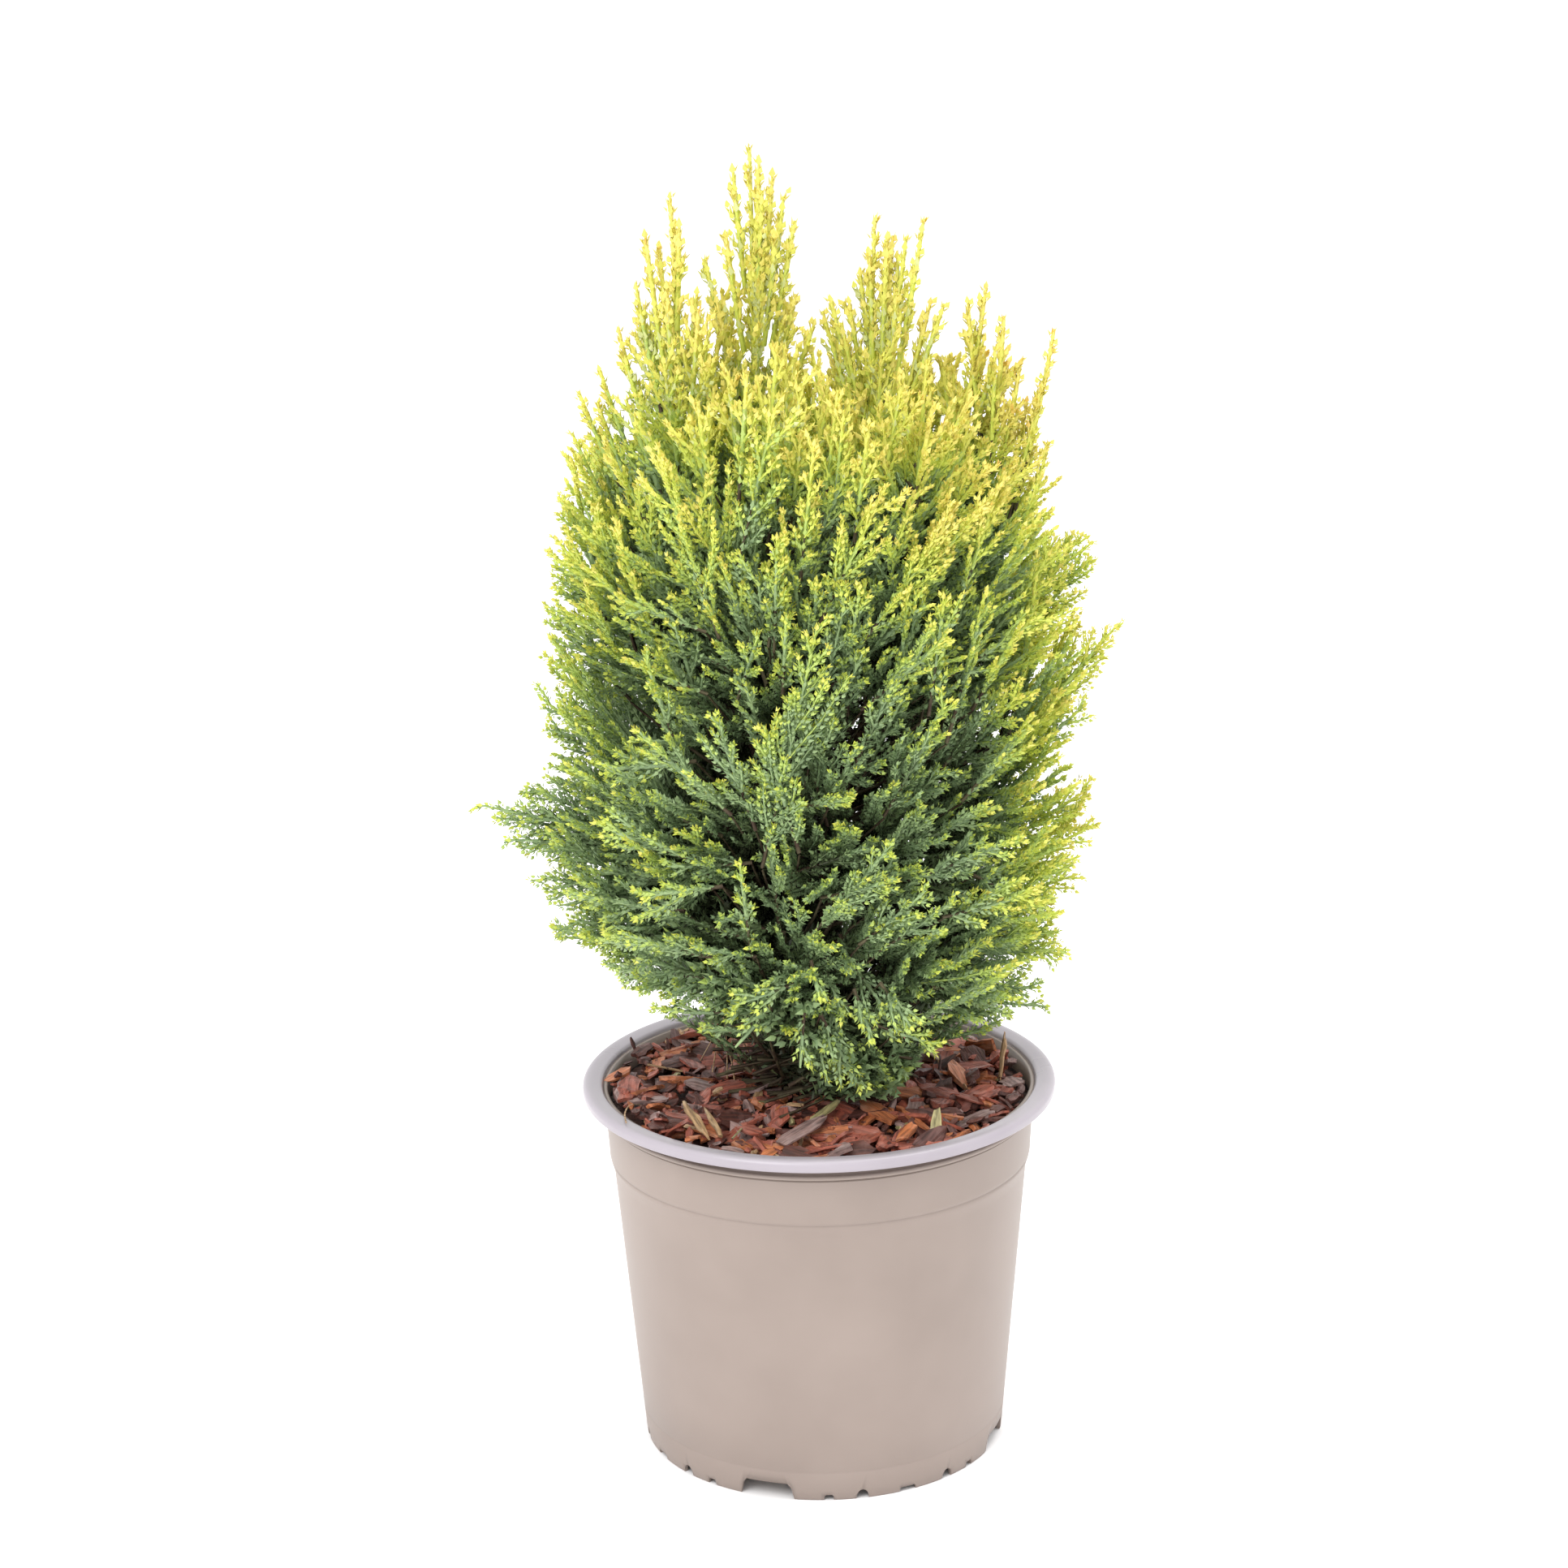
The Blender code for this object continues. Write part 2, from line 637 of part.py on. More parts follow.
def spindle_core(leader, allowed, rough):
    """The core of a leader: wide where it rests on the tiers and slim towards its tip."""
    low = Vector(leader["bough"]) * MM
    tip = Vector(leader["tip"]) * MM
    top = tip.z - LEADER_CORE["top"]
    shape = bmesh.new()
    rings = []
    for level in range(LEADER_LEVELS):
        share = level / (LEADER_LEVELS - 1)
        middle = low.lerp(tip, share * (top - low.z) / (tip.z - low.z))
        widest = LEADER_CORE["widest"] if share < 1 else 2 * MM
        ring = []
        for side in range(LEADER_SIDES):
            out = direction((side + 0.5 * (level % 2)) * TURN / LEADER_SIDES)
            place = middle + out * MM + Vector((0, 0, 3 * MM))
            reach = MM
            while reach < widest:
                reach += MM
                trial = middle + out * reach
                floor = cone_height(LEADER_CONE, axis_distance(trial)) + 3 * MM
                trial.z = floor + (top - floor) * share
                if floor > top or not allowed(trial):
                    break
                place = trial
            inwards = Vector((middle.x, middle.y, place.z))
            ring.append(shape.verts.new(place.lerp(inwards, rough.uniform(0, LEADER_ROUGHNESS))))
        rings.append(ring)
    for one, other in zip(rings, rings[1:]):
        for k in range(LEADER_SIDES):
            shape.faces.new([one[k - 1], one[k], other[k], other[k - 1]])
    shape.faces.new(rings[0])
    shape.faces.new(rings[-1])
    return shape


def settled_core(name, shape, centre, allowed, limb_skin):
    """A core drawn in wherever it leaves its space or comes near a limb."""
    bmesh.ops.triangulate(shape, faces=shape.faces)
    for _ in range(SETTLING_ROUNDS):
        poor = set()
        for edge in shape.edges:
            one, other = edge.verts
            if not all(allowed(one.co.lerp(other.co, k / 4)) for k in range(5)):
                poor.update(edge.verts)
        for face in shape.faces:
            if not allowed(face.calc_center_median()):
                poor.update(face.verts)
        shape.faces.ensure_lookup_table()
        for crossed, _ in BVHTree.FromBMesh(shape).overlap(limb_skin):
            poor.update(shape.faces[crossed].verts)
        if not poor:
            break
        for point in poor:
            point.co = centre.lerp(point.co, SETTLING_STEP)
    return shape_mesh(name, shape)


def inside(mesh_tree, point):
    """Whether a point lies in a closed body: a ray from it crosses the skin an odd number of times."""
    ray = direction(0.7, 0.9)
    crossings = 0
    hit = mesh_tree.ray_cast(point, ray)[0]
    while hit is not None:
        crossings += 1
        hit = mesh_tree.ray_cast(hit + ray * MERGE, ray)[0]
    return crossings % 2 == 1


def tree_of_mesh(mesh):
    return BVHTree.FromPolygons(
        [point.co for point in mesh.vertices], [list(face.vertices) for face in mesh.polygons]
    )


def spray_fits(mesh, space, limb_skin):
    """A spray is kept when all of it lies in its own space and it touches no limb."""
    for edge in mesh.edges:
        one, other = (mesh.vertices[k].co for k in edge.vertices)
        if not all(space.holds(one.lerp(other, share)) for share in (0, 0.5)):
            return False
    return not tree_of_mesh(mesh).overlap(limb_skin)


def joined_mass(name, base, pieces, collection, material):
    """One Boolean union fuses a mass's stem and sprays to its core; its one outer body is kept."""
    parts = make_collection(name + "_parts")
    for k, piece in enumerate(pieces):
        add_object(f"{name}_part_{k}", piece, parts)
    mass = add_object(name, base, collection, material)
    union = mass.modifiers.new("join", "BOOLEAN")
    union.operation = "UNION"
    union.operand_type = "COLLECTION"
    union.collection = parts
    union.solver = "MANIFOLD"
    mesh = outer_body(evaluated_mesh(mass))
    while mesh is None:
        bpy.data.objects.remove(parts.objects[-1], do_unlink=True)
        mesh = outer_body(evaluated_mesh(mass))
    mass.modifiers.clear()
    for part in list(parts.objects):
        bpy.data.objects.remove(part, do_unlink=True)
    bpy.data.collections.remove(parts)
    mass.data = mesh
    mesh.materials.clear()
    mesh.materials.append(material)
    return mass


def outer_body(mesh):
    """The largest closed body of a mesh, without loose scraps or sealed hollows; else None."""
    shape = bmesh.new()
    shape.from_mesh(mesh)
    bmesh.ops.remove_doubles(shape, verts=shape.verts, dist=MERGE / 20)
    bmesh.ops.dissolve_degenerate(shape, edges=shape.edges, dist=MERGE / 20)
    bmesh.ops.dissolve_limit(
        shape, angle_limit=math.radians(0.5), verts=shape.verts, edges=shape.edges
    )
    bmesh.ops.triangulate(shape, faces=shape.faces)
    left = set(shape.faces)
    bodies = []
    while left:
        seed = left.pop()
        body, front = [seed], [seed]
        while front:
            for edge in front.pop().edges:
                for face in edge.link_faces:
                    if face in left:
                        left.remove(face)
                        body.append(face)
                        front.append(face)
        bodies.append(body)
    keep = max(bodies, key=len)
    spare = [face for body in bodies if body is not keep for face in body]
    bmesh.ops.delete(shape, geom=spare, context="FACES")
    closed = all(edge.is_manifold for edge in shape.edges)
    bmesh.ops.recalc_face_normals(shape, faces=shape.faces)
    if not closed:
        shape.free()
        return None
    shape.to_mesh(mesh)
    shape.free()
    return mesh


def flow_lift(point):
    """How steeply the sprays rise at a point: along the cones, and upright among the leaders."""
    cones = TIERS + [LEADER_CONE]
    if rise_above_cone(point, cones[0]) < 0:
        return math.radians(-10)
    for lower, upper in zip(cones, cones[1:]):
        above = -rise_above_cone(point, upper)
        if above > 0:
            below = rise_above_cone(point, lower)
            slope = lower["slope"] + (upper["slope"] - lower["slope"]) * below / (below + above)
            return math.atan(slope)
    beyond = rise_above_cone(point, LEADER_CONE)
    return min(math.atan(LEADER_CONE["slope"]) + beyond / (90 * MM), math.radians(84))


def tier_tips(space, rough):
    """Candidates for the tips of a mass's sprays, spread over the outer face of its space."""
    tips = []
    while len(tips) < TIP_CANDIDATES:
        azimuth = space.azimuth + rough.uniform(-1, 1) * HALF_SECTOR
        height = rough.uniform(FOLIAGE_FLOOR, SHOULDER_HEIGHT)
        radius = crown_radius(height, azimuth) * rough.uniform(0.93, 1.02)
        tip = Vector((radius * math.cos(azimuth), radius * math.sin(azimuth), height))
        if space.holds(tip):
            tips.append(tip)
    return tips


def leader_tips(leader, rough):
    """Candidates for the tips of a leader's side sprays: a plume that narrows upwards."""
    low = Vector(leader["bough"]) * MM
    high = Vector(leader["tip"]) * MM
    tips = []
    for k in range(TIP_CANDIDATES):
        share = 0.2 + 0.74 * k / TIP_CANDIDATES
        spread = leader["plume"] * MM * (1.25 - share) * rough.uniform(0.8, 1)
        tips.append(low.lerp(high, share) + direction(k * GOLDEN_TURN) * spread)
    return tips


def spread_out(tips, first):
    """The candidates in an order that keeps each next one as far as it can be from those before."""
    chosen = list(first)
    left = list(tips)
    while left:
        best = max(left, key=lambda tip: min((tip - other).length for other in chosen))
        left.remove(best)
        chosen.append(best)
        yield best


def spray_root(tip, spread_from, length, rough):
    """Where a spray leaves: back from its tip along the crown's flow, a little fanned from the stem."""
    fan = (tip - spread_from).normalized()
    flow = direction(math.atan2(tip.y, tip.x), flow_lift(tip))
    along = (flow + fan * 0.4 + jitter(rough, 0.1)).normalized()
    return tip - along * length


def jitter(rough, size):
    return Vector([rough.uniform(-size, size) for _ in range(3)])


def grow_mass(name, core, space, bough_tip, arrive, stem_end, centre, tips, rule, limb_skin, rough):
    """The stem and the sprays of one mass, by one seeded rule for every mass."""
    core_tree = tree_of_mesh(core)
    stem_start = bough_tip + arrive * TOUCH_GAP
    pieces = [stem_twig(name + "_stem", stem_start, arrive, centre)]
    fixed = [Vector(tip) * MM for tip in LONG_SPRAYS.get(name, [])]
    order = fixed + [stem_end]
    order.extend(spread_out(tips, order))
    short, long, width = rule["spray"]
    made = 0
    for k, tip in enumerate(order):
        if made >= rule["sprays"]:
            break
        root = spray_root(tip, stem_start, rough.uniform(short, long) * MM, rough)
        while not inside(core_tree, root) and (root - centre).length > MM:
            root = root.lerp(centre, 0.1)
        root = root.lerp(centre, ROOT_DEPTH)
        outward = direction(math.atan2(tip.y, tip.x)) + jitter(rough, rule["twist"])
        blade = toothed_blade(f"{name}_spray", root, tip, outward, width * MM)
        if k < len(fixed) or spray_fits(blade, space, limb_skin):
            pieces.append(blade)
            made += 1
        else:
            bpy.data.meshes.remove(blade)
    return pieces


def tier_plan():
    """Each tier mass: its name, tier, azimuth, the bough's tip and the direction it arrives in."""
    for number, tier in enumerate(TIERS):
        for sector in range(SECTORS):
            degrees = (180 + tier["turn"] + 360 * sector // SECTORS) % 360
            azimuth = math.radians(degrees)
            name = f"{tier['name']}_{SECTOR_NAMES[degrees]}"
            lift = math.radians(tier["lift"])
            upper = TIERS[number + 1] if number + 1 < len(TIERS) else LEADER_CONE
            low = max(cone_height(tier, BOUGH_REACH), MULCH_LEVEL + 4 * MM)
            high = cone_height(upper, BOUGH_REACH)
            tip = direction(azimuth) * BOUGH_REACH + Vector((0, 0, (low + high) / 2))
            yield name, number, azimuth, tip, direction(azimuth, lift)


def build_plant(collection, materials):
    trunk = build_trunk(collection, materials["bark"])
    limbs = [trunk]
    masses = []
    for name, number, azimuth, tip, arrive in tier_plan():
        tier = TIERS[number]
        path = bough_path(azimuth, tier["bough_foot"] * MM, tip, arrive)
        limbs.append(build_bough("bough_" + name, path, collection, materials["bark"]))
        masses.append((name, number, azimuth, tip, arrive))
    for name, leader in LEADERS.items():
        tip = Vector(leader["bough"]) * MM
        if leader["foot"]:
            arrive = direction(math.atan2(tip.y, tip.x), LEADER_BOUGH_LIFT)
            path = bough_path(math.radians(leader["azimuth"]), leader["foot"] * MM, tip, arrive)
            limbs.append(build_bough("bough_leader_" + name, path, collection, materials["bark"]))
    bpy.context.view_layer.update()
    limb_tree = tree_of(limbs)
    limb_skin = tree_of(limbs, LIMB_CLEARANCE)

    for number, (name, tier, azimuth, tip, arrive) in enumerate(masses):
        rough = random.Random(100 + number)
        space = TierSpace(tier, azimuth)
        candidates = tier_tips(space, rough)
        end = max(candidates, key=lambda point: (point - tip).normalized().dot(arrive))

        def allowed(point):
            return space.holds(point, CORE_MARGIN) and clear_of_limbs(point, limb_tree)

        shape = wedge_core(space, TIERS[tier]["core"], rough)
        centre = sum((point.co for point in shape.verts), Vector()) / len(shape.verts)
        core = settled_core(name + "_core", shape, centre, allowed, limb_skin)
        pieces = grow_mass(
            name, core, space, tip, arrive, end, centre, candidates, TIERS[tier], limb_skin, rough
        )
        material = materials[TIERS[tier]["name"]]
        joined_mass("foliage_" + name, core, pieces, collection, material)

    for number, (name, leader) in enumerate(LEADERS.items()):
        rough = random.Random(200 + number)
        space = LeaderSpace(name)
        low = Vector(leader["bough"]) * MM
        end = Vector(leader["tip"]) * MM
        centre = low.lerp(end, 0.24)

        def allowed(point):
            limit = LEADER_CORE["tip"] + LEADER_CORE["spread"] * (end.z - point.z)
            return (
                space.holds(point, CORE_MARGIN)
                and distance_to_leader(point, name) < limit
                and axis_distance(point) < LEADER_CORE["outline"] * outline_at(point)
                and clear_of_limbs(point, limb_tree)
            )

        if leader["foot"]:
            arrive = direction(math.atan2(low.y, low.x), LEADER_BOUGH_LIFT)
        else:
            arrive = (TRUNK_LINE[-1] - trunk_at(TRUNK_LINE[-1].z - 2 * MM)).normalized()
        shape = spindle_core(leader, allowed, rough)
        core = settled_core(name + "_core", shape, centre, allowed, limb_skin)
        pieces = grow_mass(
            "leader_" + name, core, space, low, arrive, end, centre, leader_tips(leader, rough),
            LEADER_RULE, limb_skin, rough,
        )
        joined_mass("foliage_leader_" + name, core, pieces, collection, materials["leader"])


def main():
    clear_scene()
    materials = make_materials()
    plant = make_collection("lawson_cypress")
    cutters = make_collection("pot_cutters")
    build_pot(plant, cutters, materials["pot"])
    build_soil(plant, materials["potting_soil"])
    build_mulch(plant, materials["bark_mulch"])
    build_plant(plant, materials)


main()
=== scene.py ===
"""Looks of the potted lawson cypress: pot, mulch, wood, scale-leaf foliage and the studio."""

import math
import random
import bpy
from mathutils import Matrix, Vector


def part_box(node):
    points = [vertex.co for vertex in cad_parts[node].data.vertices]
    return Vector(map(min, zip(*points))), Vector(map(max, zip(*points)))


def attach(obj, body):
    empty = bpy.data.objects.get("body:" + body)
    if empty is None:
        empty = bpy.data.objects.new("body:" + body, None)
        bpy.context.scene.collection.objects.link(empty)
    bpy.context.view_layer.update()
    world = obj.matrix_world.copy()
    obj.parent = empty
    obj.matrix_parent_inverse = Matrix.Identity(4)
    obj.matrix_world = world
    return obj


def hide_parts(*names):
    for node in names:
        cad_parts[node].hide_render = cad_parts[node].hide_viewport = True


bl_info = {
    "name": "Potted Lawson Cypress",
    "version": (1, 0, 0),
    "blender": (4, 5, 0),
    "location": "View3D > Sidebar > Cypress",
    "description": "Builds a young lawson cypress in a nursery pot, with bark mulch and a studio",
    "category": "Add Mesh",
}

import bmesh
import bpy
import numpy as np
from bpy.props import FloatProperty, FloatVectorProperty, IntProperty, PointerProperty
from mathutils import Matrix, Vector, noise

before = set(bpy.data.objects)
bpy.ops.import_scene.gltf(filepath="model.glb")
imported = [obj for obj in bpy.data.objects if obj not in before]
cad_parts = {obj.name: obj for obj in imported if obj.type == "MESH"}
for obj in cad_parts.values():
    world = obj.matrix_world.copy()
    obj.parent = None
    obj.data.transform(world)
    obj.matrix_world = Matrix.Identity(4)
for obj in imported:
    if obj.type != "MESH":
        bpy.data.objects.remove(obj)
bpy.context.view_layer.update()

MM = 0.001
TURN = 2 * math.pi
GOLDEN_TURN = math.radians(137.5)

POT_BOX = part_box("pot")
POT_HEIGHT = POT_BOX[1].z
RIM_RADIUS = (POT_BOX[1].x - POT_BOX[0].x) / 2

# Pot wall: outer radius at its heights, from the floor up, in millimetres.
RIM_INNER_RADIUS = 87.2 * MM
BASE_RADIUS = 73.1 * MM
STEP_BOTTOM = (83.2 * MM, 116 * MM)
STEP_TOP = (84.8 * MM, 122 * MM)
COLLAR_TOP = (86.2 * MM, 143 * MM)
WALL = 1.3 * MM
FOOT_FLOOR = 9 * MM
BOSS_RADIUS = 26 * MM
NOTCH_QUADRANT = math.radians(26.6)

# Notches in one quadrant of the foot: degrees from its middle, width and height in millimetres, and
# whether the top is round.
NOTCHES = [
    (45, 23, 7, False), (0, 8, 2, False), (-25.5, 4, 2.4, False), (-15, 5.2, 4, True),
    (25.5, 4, 2.4, False), (15, 5.2, 4, True),
]

# A groove, a bead and a recess round the collar, close under the rim: how far out, and height.
BEAD_UNDER_RIM = [
    (-0.9, 140.4), (-0.9, 141), (0.9, 141.2), (1.3, 141.5), (1.4, 142.1), (1.2, 142.7), (0.8, 143),
    (-0.5, 143.2), (-0.5, 146),
]

INSIDE_COLOUR = (0.07, 0.066, 0.07)

# The shown bark lies loose and fills the pot nearly to its rim.
MULCH_LEVEL = 143.6 * MM
MULCH_RADIUS = 84.6 * MM
WINDWARD_HEAP = 3.5 * MM

# How far a chip at the edge may turn out of the line of the wall, in radians.
MOST_ASKEW = 0.35

# A chip has rows of three points above and three below: its faces from one row to the next, and at
# its end.
CHIP_SIDES = [(0, 6, 8, 2), (1, 3, 9, 7), (2, 8, 10, 4), (3, 5, 11, 9), (0, 1, 7, 6), (4, 10, 11, 5)]
CHIP_END = [(0, 2, 3, 1), (2, 4, 5, 3)]

# Trunk and boughs, as in the part's source.
TRUNK_LINE = [
    Vector(point) * MM for point in (
        (-5, 2, 138.3), (-6, 2, 150), (-9, 1, 172), (-14, 1, 210), (-18, 2, 265), (-20, 3, 320),
        (-20, 4, 362),
    )
]
TRUNK_FOOT_RADIUS = 5.4 * MM
TRUNK_TIP_RADIUS = 1.2 * MM
ROOT_FLARE = 4.2 * MM
FLARE_HEIGHT = 7 * MM
BOUGH_ROOT_RADIUS = 1.9 * MM
BOUGH_TIP_RADIUS = 0.9 * MM
BOUGH_REACH = 29 * MM
LOWEST_MASS = 142 * MM
LAST_STRETCH = 2.5 * MM

# Tiers of foliage, as in the part's source: skirt, lower, middle and upper, each on a cone about the
# crown's axis, then the cone under the leaders.
TIERS = [
    {"rise": 120, "slope": 0.0, "turn": 36, "bough_foot": 153, "lift": -4, "plumes": 11},
    {"rise": 166, "slope": 0.36, "turn": 0, "bough_foot": 168, "lift": 16, "plumes": 15},
    {"rise": 196, "slope": 0.68, "turn": 36, "bough_foot": 196, "lift": 36, "plumes": 17},
    {"rise": 232, "slope": 1.08, "turn": 0, "bough_foot": 226, "lift": 54, "plumes": 17},
]
LEADER_CONE = {"rise": 296, "slope": 1.38}
LOWEST_LIFT = math.radians(-12)
STEEPEST_LIFT = math.radians(84)
SECTORS = 5
HALF_SECTOR = TURN / SECTORS / 2

# Leaders: azimuth and height of the bough's foot, its tip, and the tip of the leading shoot.
LEADERS = {
    "centre": (0, 0, (-20, 4, 362), (-20.5, 4, 520)),
    "left": (198, 184, (-46, -12, 368), (-50.3, -12, 506)),
    "right": (342, 184, (20, 0, 332), (26, 2, 493)),
    "far_right": (18, 178, (56, 10, 380), (68.5, 6, 468)),
    "back": (90, 190, (10, 44, 364), (12, 46, 448)),
    "back_left": (112, 238, (-38, 38, 375), (-42, 42, 446)),
    "front": (284, 204, (-8, -42, 362), (-8, -50, 454)),
    "front_right": (306, 212, (38, -36, 373), (44, -44, 448)),
}
LEADER_BOUGH_LIFT = math.radians(62)

# Crown outline: height, reach to the left and reach to the right, in millimetres. From front to back
# the crown is a small share flatter.
OUTLINE = [
    (140, 30, 34), (152, 40, 48), (164, 46, 60), (180, 60, 74), (196, 74, 84), (208, 80, 90),
    (218, 94, 94), (235, 99, 99), (262, 103, 102), (290, 98, 98), (318, 98, 101), (345, 100, 102),
    (372, 97, 103), (395, 94, 92), (415, 91, 86), (432, 87, 84), (450, 74, 82), (475, 60, 68),
    (500, 50, 44), (524, 24, 24),
]
FLATTER = 0.06

# Underside of the crown at its axis: place across and height, in millimetres. It rises to the front.
UNDERSIDE = [
    (-90, 184), (-55, 178), (-25, 171), (-6, 164), (4, 147), (27, 147), (42, 162), (75, 173), (100, 178),
]
UNDERSIDE_RISE = 0.28

# Tips of single sprays that stand out of the outline: place and length in millimetres, and how
# steeply each rises, in degrees.
LONE_SPRAYS = [
    (-132, -4, 268, 84, 14), (-127, 2, 261, 72, 9), (-121, -6, 254, 62, 4), (-116, 2, 248, 54, -4),
    (-114, 4, 273, 62, 24), (-108, -4, 238, 50, 12), (-107, -2, 231, 46, 6), (-104, -10, 218, 54, 8),
    (-103, -2, 212, 50, 4), (-96, -18, 224, 50, 10), (-106, -4, 311, 46, 40), (-102, -6, 300, 44, 36),
    (-99, -10, 344, 40, 50), (-97, 0, 362, 40, 56), (118, -6, 337, 56, 50), (111, -2, 326, 44, 44),
    (106, -8, 306, 40, 42), (108, -4, 271, 50, 34), (107, -12, 257, 50, 28), (102, -12, 238, 46, 20),
    (96, -14, 208, 46, 6), (92, -8, 182, 46, -4), (88, -14, 192, 40, 2), (105, 0, 372, 44, 52),
    (108, 2, 362, 44, 48),
]

# Tips beside each leader: place in millimetres, and length.
LEADER_SIDE_TIPS = {
    "centre": [
        (-27, 2, 514, 40), (-17, 2, 517, 34), (-12, 4, 512, 44), (-8, 2, 503, 42), (-4, 0, 494, 40),
        (-11, -6, 490, 36), (-4, 2, 466, 30), (-16, -4, 506, 34), (-30, -4, 490, 38), (-38, -6, 481, 38),
        (-34, -6, 466, 34), (3, -2, 456, 30),
    ],
    "left": [
        (-60, -12, 492, 42), (-47, -14, 496, 34), (-64, -10, 472, 40), (-55, -4, 486, 38),
        (-41, -10, 470, 30), (-71, -12, 456, 42), (-79, -8, 441, 42), (-87, -8, 432, 44),
        (-52, -22, 474, 40), (-90, -8, 416, 42), (-80, -10, 428, 40),
    ],
    "right": [
        (24, 0, 482, 36), (31, 0, 488, 38), (44.5, -2, 494, 50), (38, 2, 487, 40), (20.5, 4, 474, 30),
        (47, 0, 463, 38), (33, 6, 487, 40), (30, -4, 478, 40), (9, -2, 465, 34), (16, 0, 464, 34),
        (34, -10, 468, 36), (6, 4, 459, 34), (52, -2, 462, 34), (13, -6, 456, 30),
    ],
    "far_right": [
        (75, 4, 456, 40), (81, 0, 438, 34), (94, 2, 451, 60), (61, 2, 463, 44), (84, 6, 424, 40),
        (64, 8, 452, 40), (92, 0, 408, 40), (71, -6, 446, 42), (89, 2, 430, 44),
    ],
}

# Leaf colours from the deep inside of the crown to its newest tips: how new and how lit the leaf may be
# at most, its colour and its record slot. The darker tints are painted shade inside the crown; the
# yellow to amber ones are the new growth's own colour, raised in part as painted light.
TINTS = [
    ("deep_shade", 0.14, (0.045, 0.056, 0.026), "foliage_low"),
    ("dark_green", 0.25, (0.11, 0.155, 0.065), "foliage_low"),
    ("blue_green", 0.36, (0.21, 0.3, 0.145), "foliage_low"),
    ("grey_green", 0.47, (0.3, 0.41, 0.185), "foliage_mid"),
    ("fresh_green", 0.58, (0.44, 0.56, 0.14), "foliage_mid"),
    ("lime", 0.69, (0.58, 0.65, 0.108), "foliage_high"),
    ("yellow", 0.82, (0.7, 0.69, 0.13), "foliage_high"),
    ("gold", 1.09, (0.77, 0.68, 0.16), "foliage_tips"),
    ("amber", 9.0, (0.81, 0.58, 0.14), "foliage_tips"),
]

# Above this height the lime leaves are paler, as light comes through the thin leading shoots.
PALE_ABOVE = 430
PALE_LIME = ("pale_lime", 0.0, (0.6, 0.64, 0.27), "foliage_high")

# How new and how lit the leaves look by height in millimetres: on the body of an outer spray, and how
# much newer at its very tip, within about this length of new growth. The rise with height is partly the
# new growth's own yellow and partly painted light, as light comes through the thin top leaves.
LOOK_LEVELS = (140, 230, 300, 350, 400, 440, 480)
BODY_BY_HEIGHT = (0.29, 0.29, 0.31, 0.38, 0.55, 0.67, 0.69)
GAIN_BY_HEIGHT = (0.4, 0.41, 0.41, 0.4, 0.4, 0.44, 0.46)
NEW_GROWTH = 5.4

# Heights between which the shoots change from feathery to cord-like, and their leaves from lying
# close to standing off like awls.
LEADING_HEIGHTS = (395, 455)
AWL_HEIGHTS = (420, 240)

# Plumes seen on the crown's front, laid on its face: root across and up, tip across and up, and the
# longest spray at their side, in millimetres.
FRONT_PLUMES = [
    (-20, 262, 2, 360, 32), (-11, 329, -9, 364, 9), (-25, 227, -28, 270, 9), (-34, 349, -55, 418, 38),
    (-27, 376, -12, 437, 26), (-37, 405, -40, 438, 16), (-79, 338, -91, 406, 26), (-60, 387, -76, 419, 18),
    (-16, 347, -9, 394, 7), (-28, 326, -19, 358, 12), (-39, 327, -68, 341, 16), (-39, 351, -70, 364, 16),
    (-35, 253, -67, 251, 16), (-31, 281, -66, 315, 22), (-23, 225, -47, 234, 13), (-39, 222, -72, 232, 18),
    (-43, 210, -82, 200, 26), (-7, 214, -31, 207, 12), (3, 356, 27, 407, 26), (18, 347, 52, 394, 28),
    (18, 322, 49, 352, 20), (32, 295, 50, 328, 20), (56, 280, 82, 313, 20), (35, 254, 79, 268, 20),
    (16, 230, 41, 256, 18), (23, 226, 52, 250, 16), (29, 186, 76, 214, 26), (5, 285, 16, 314, 14),
    (-6, 285, 15, 294, 12), (39, 368, 65, 398, 20), (54, 354, 70, 402, 22), (60, 315, 78, 351, 20),
    (71, 214, 97, 202, 20), (-2, 235, 29, 276, 20), (1, 199, 16, 164, 18), (-5, 199, -7, 176, 12),
    (22, 192, 47, 182, 16), (-18, 201, -32, 183, 14), (-2, 224, 1, 212, 10), (-44, 300, -78, 296, 18),
    (-46, 262, -84, 274, 22), (48, 236, 86, 242, 20), (50, 330, 88, 352, 20), (-58, 350, -86, 372, 18),
    (44, 205, 80, 188, 20), (-14, 345, -12, 392, 14), (14, 298, 30, 338, 16), (26, 280, 44, 318, 16),
    (-4, 372, 2, 425, 16), (16, 385, 22, 432, 16), (38, 395, 46, 436, 16), (-50, 300, -62, 346, 18),
    (2, 250, 30, 262, 16), (-56, 330, -72, 392, 18), (-22, 276, -36, 326, 22), (-6, 268, -18, 322, 20),
    (60, 250, 92, 226, 20), (-48, 224, -88, 220, 26), (-50, 240, -94, 236, 24), (-30, 196, -60, 192, 20),
    (-20, 190, -46, 188, 16), (14, 210, 21, 190, 13), (24, 212, 36, 194, 14), (-26, 400, -22, 448, 14),
]
FRONT_ROOT_DEPTH = 0.78
FRONT_TIP_DEPTH = 0.98
GOLDEN_SHARE = 0.618
SOIL_TOP = 149

# Plumes of the tiers: how far out most of them end and how far out one in four does, as shares of
# the outline, and how much less that is at the front.
TIER_DEPTHS = (0.94, 1.02)
DEEPER_DEPTHS = (0.78, 0.9)
FRONT_DRAWN_IN = 0.13

# The longest green part of a tier's plume in millimetres, and how much steeper than the cones the
# plumes end in each tier, in degrees.
LONGEST_GREEN = 96
STEEPER = (0, 8, 16, 14)

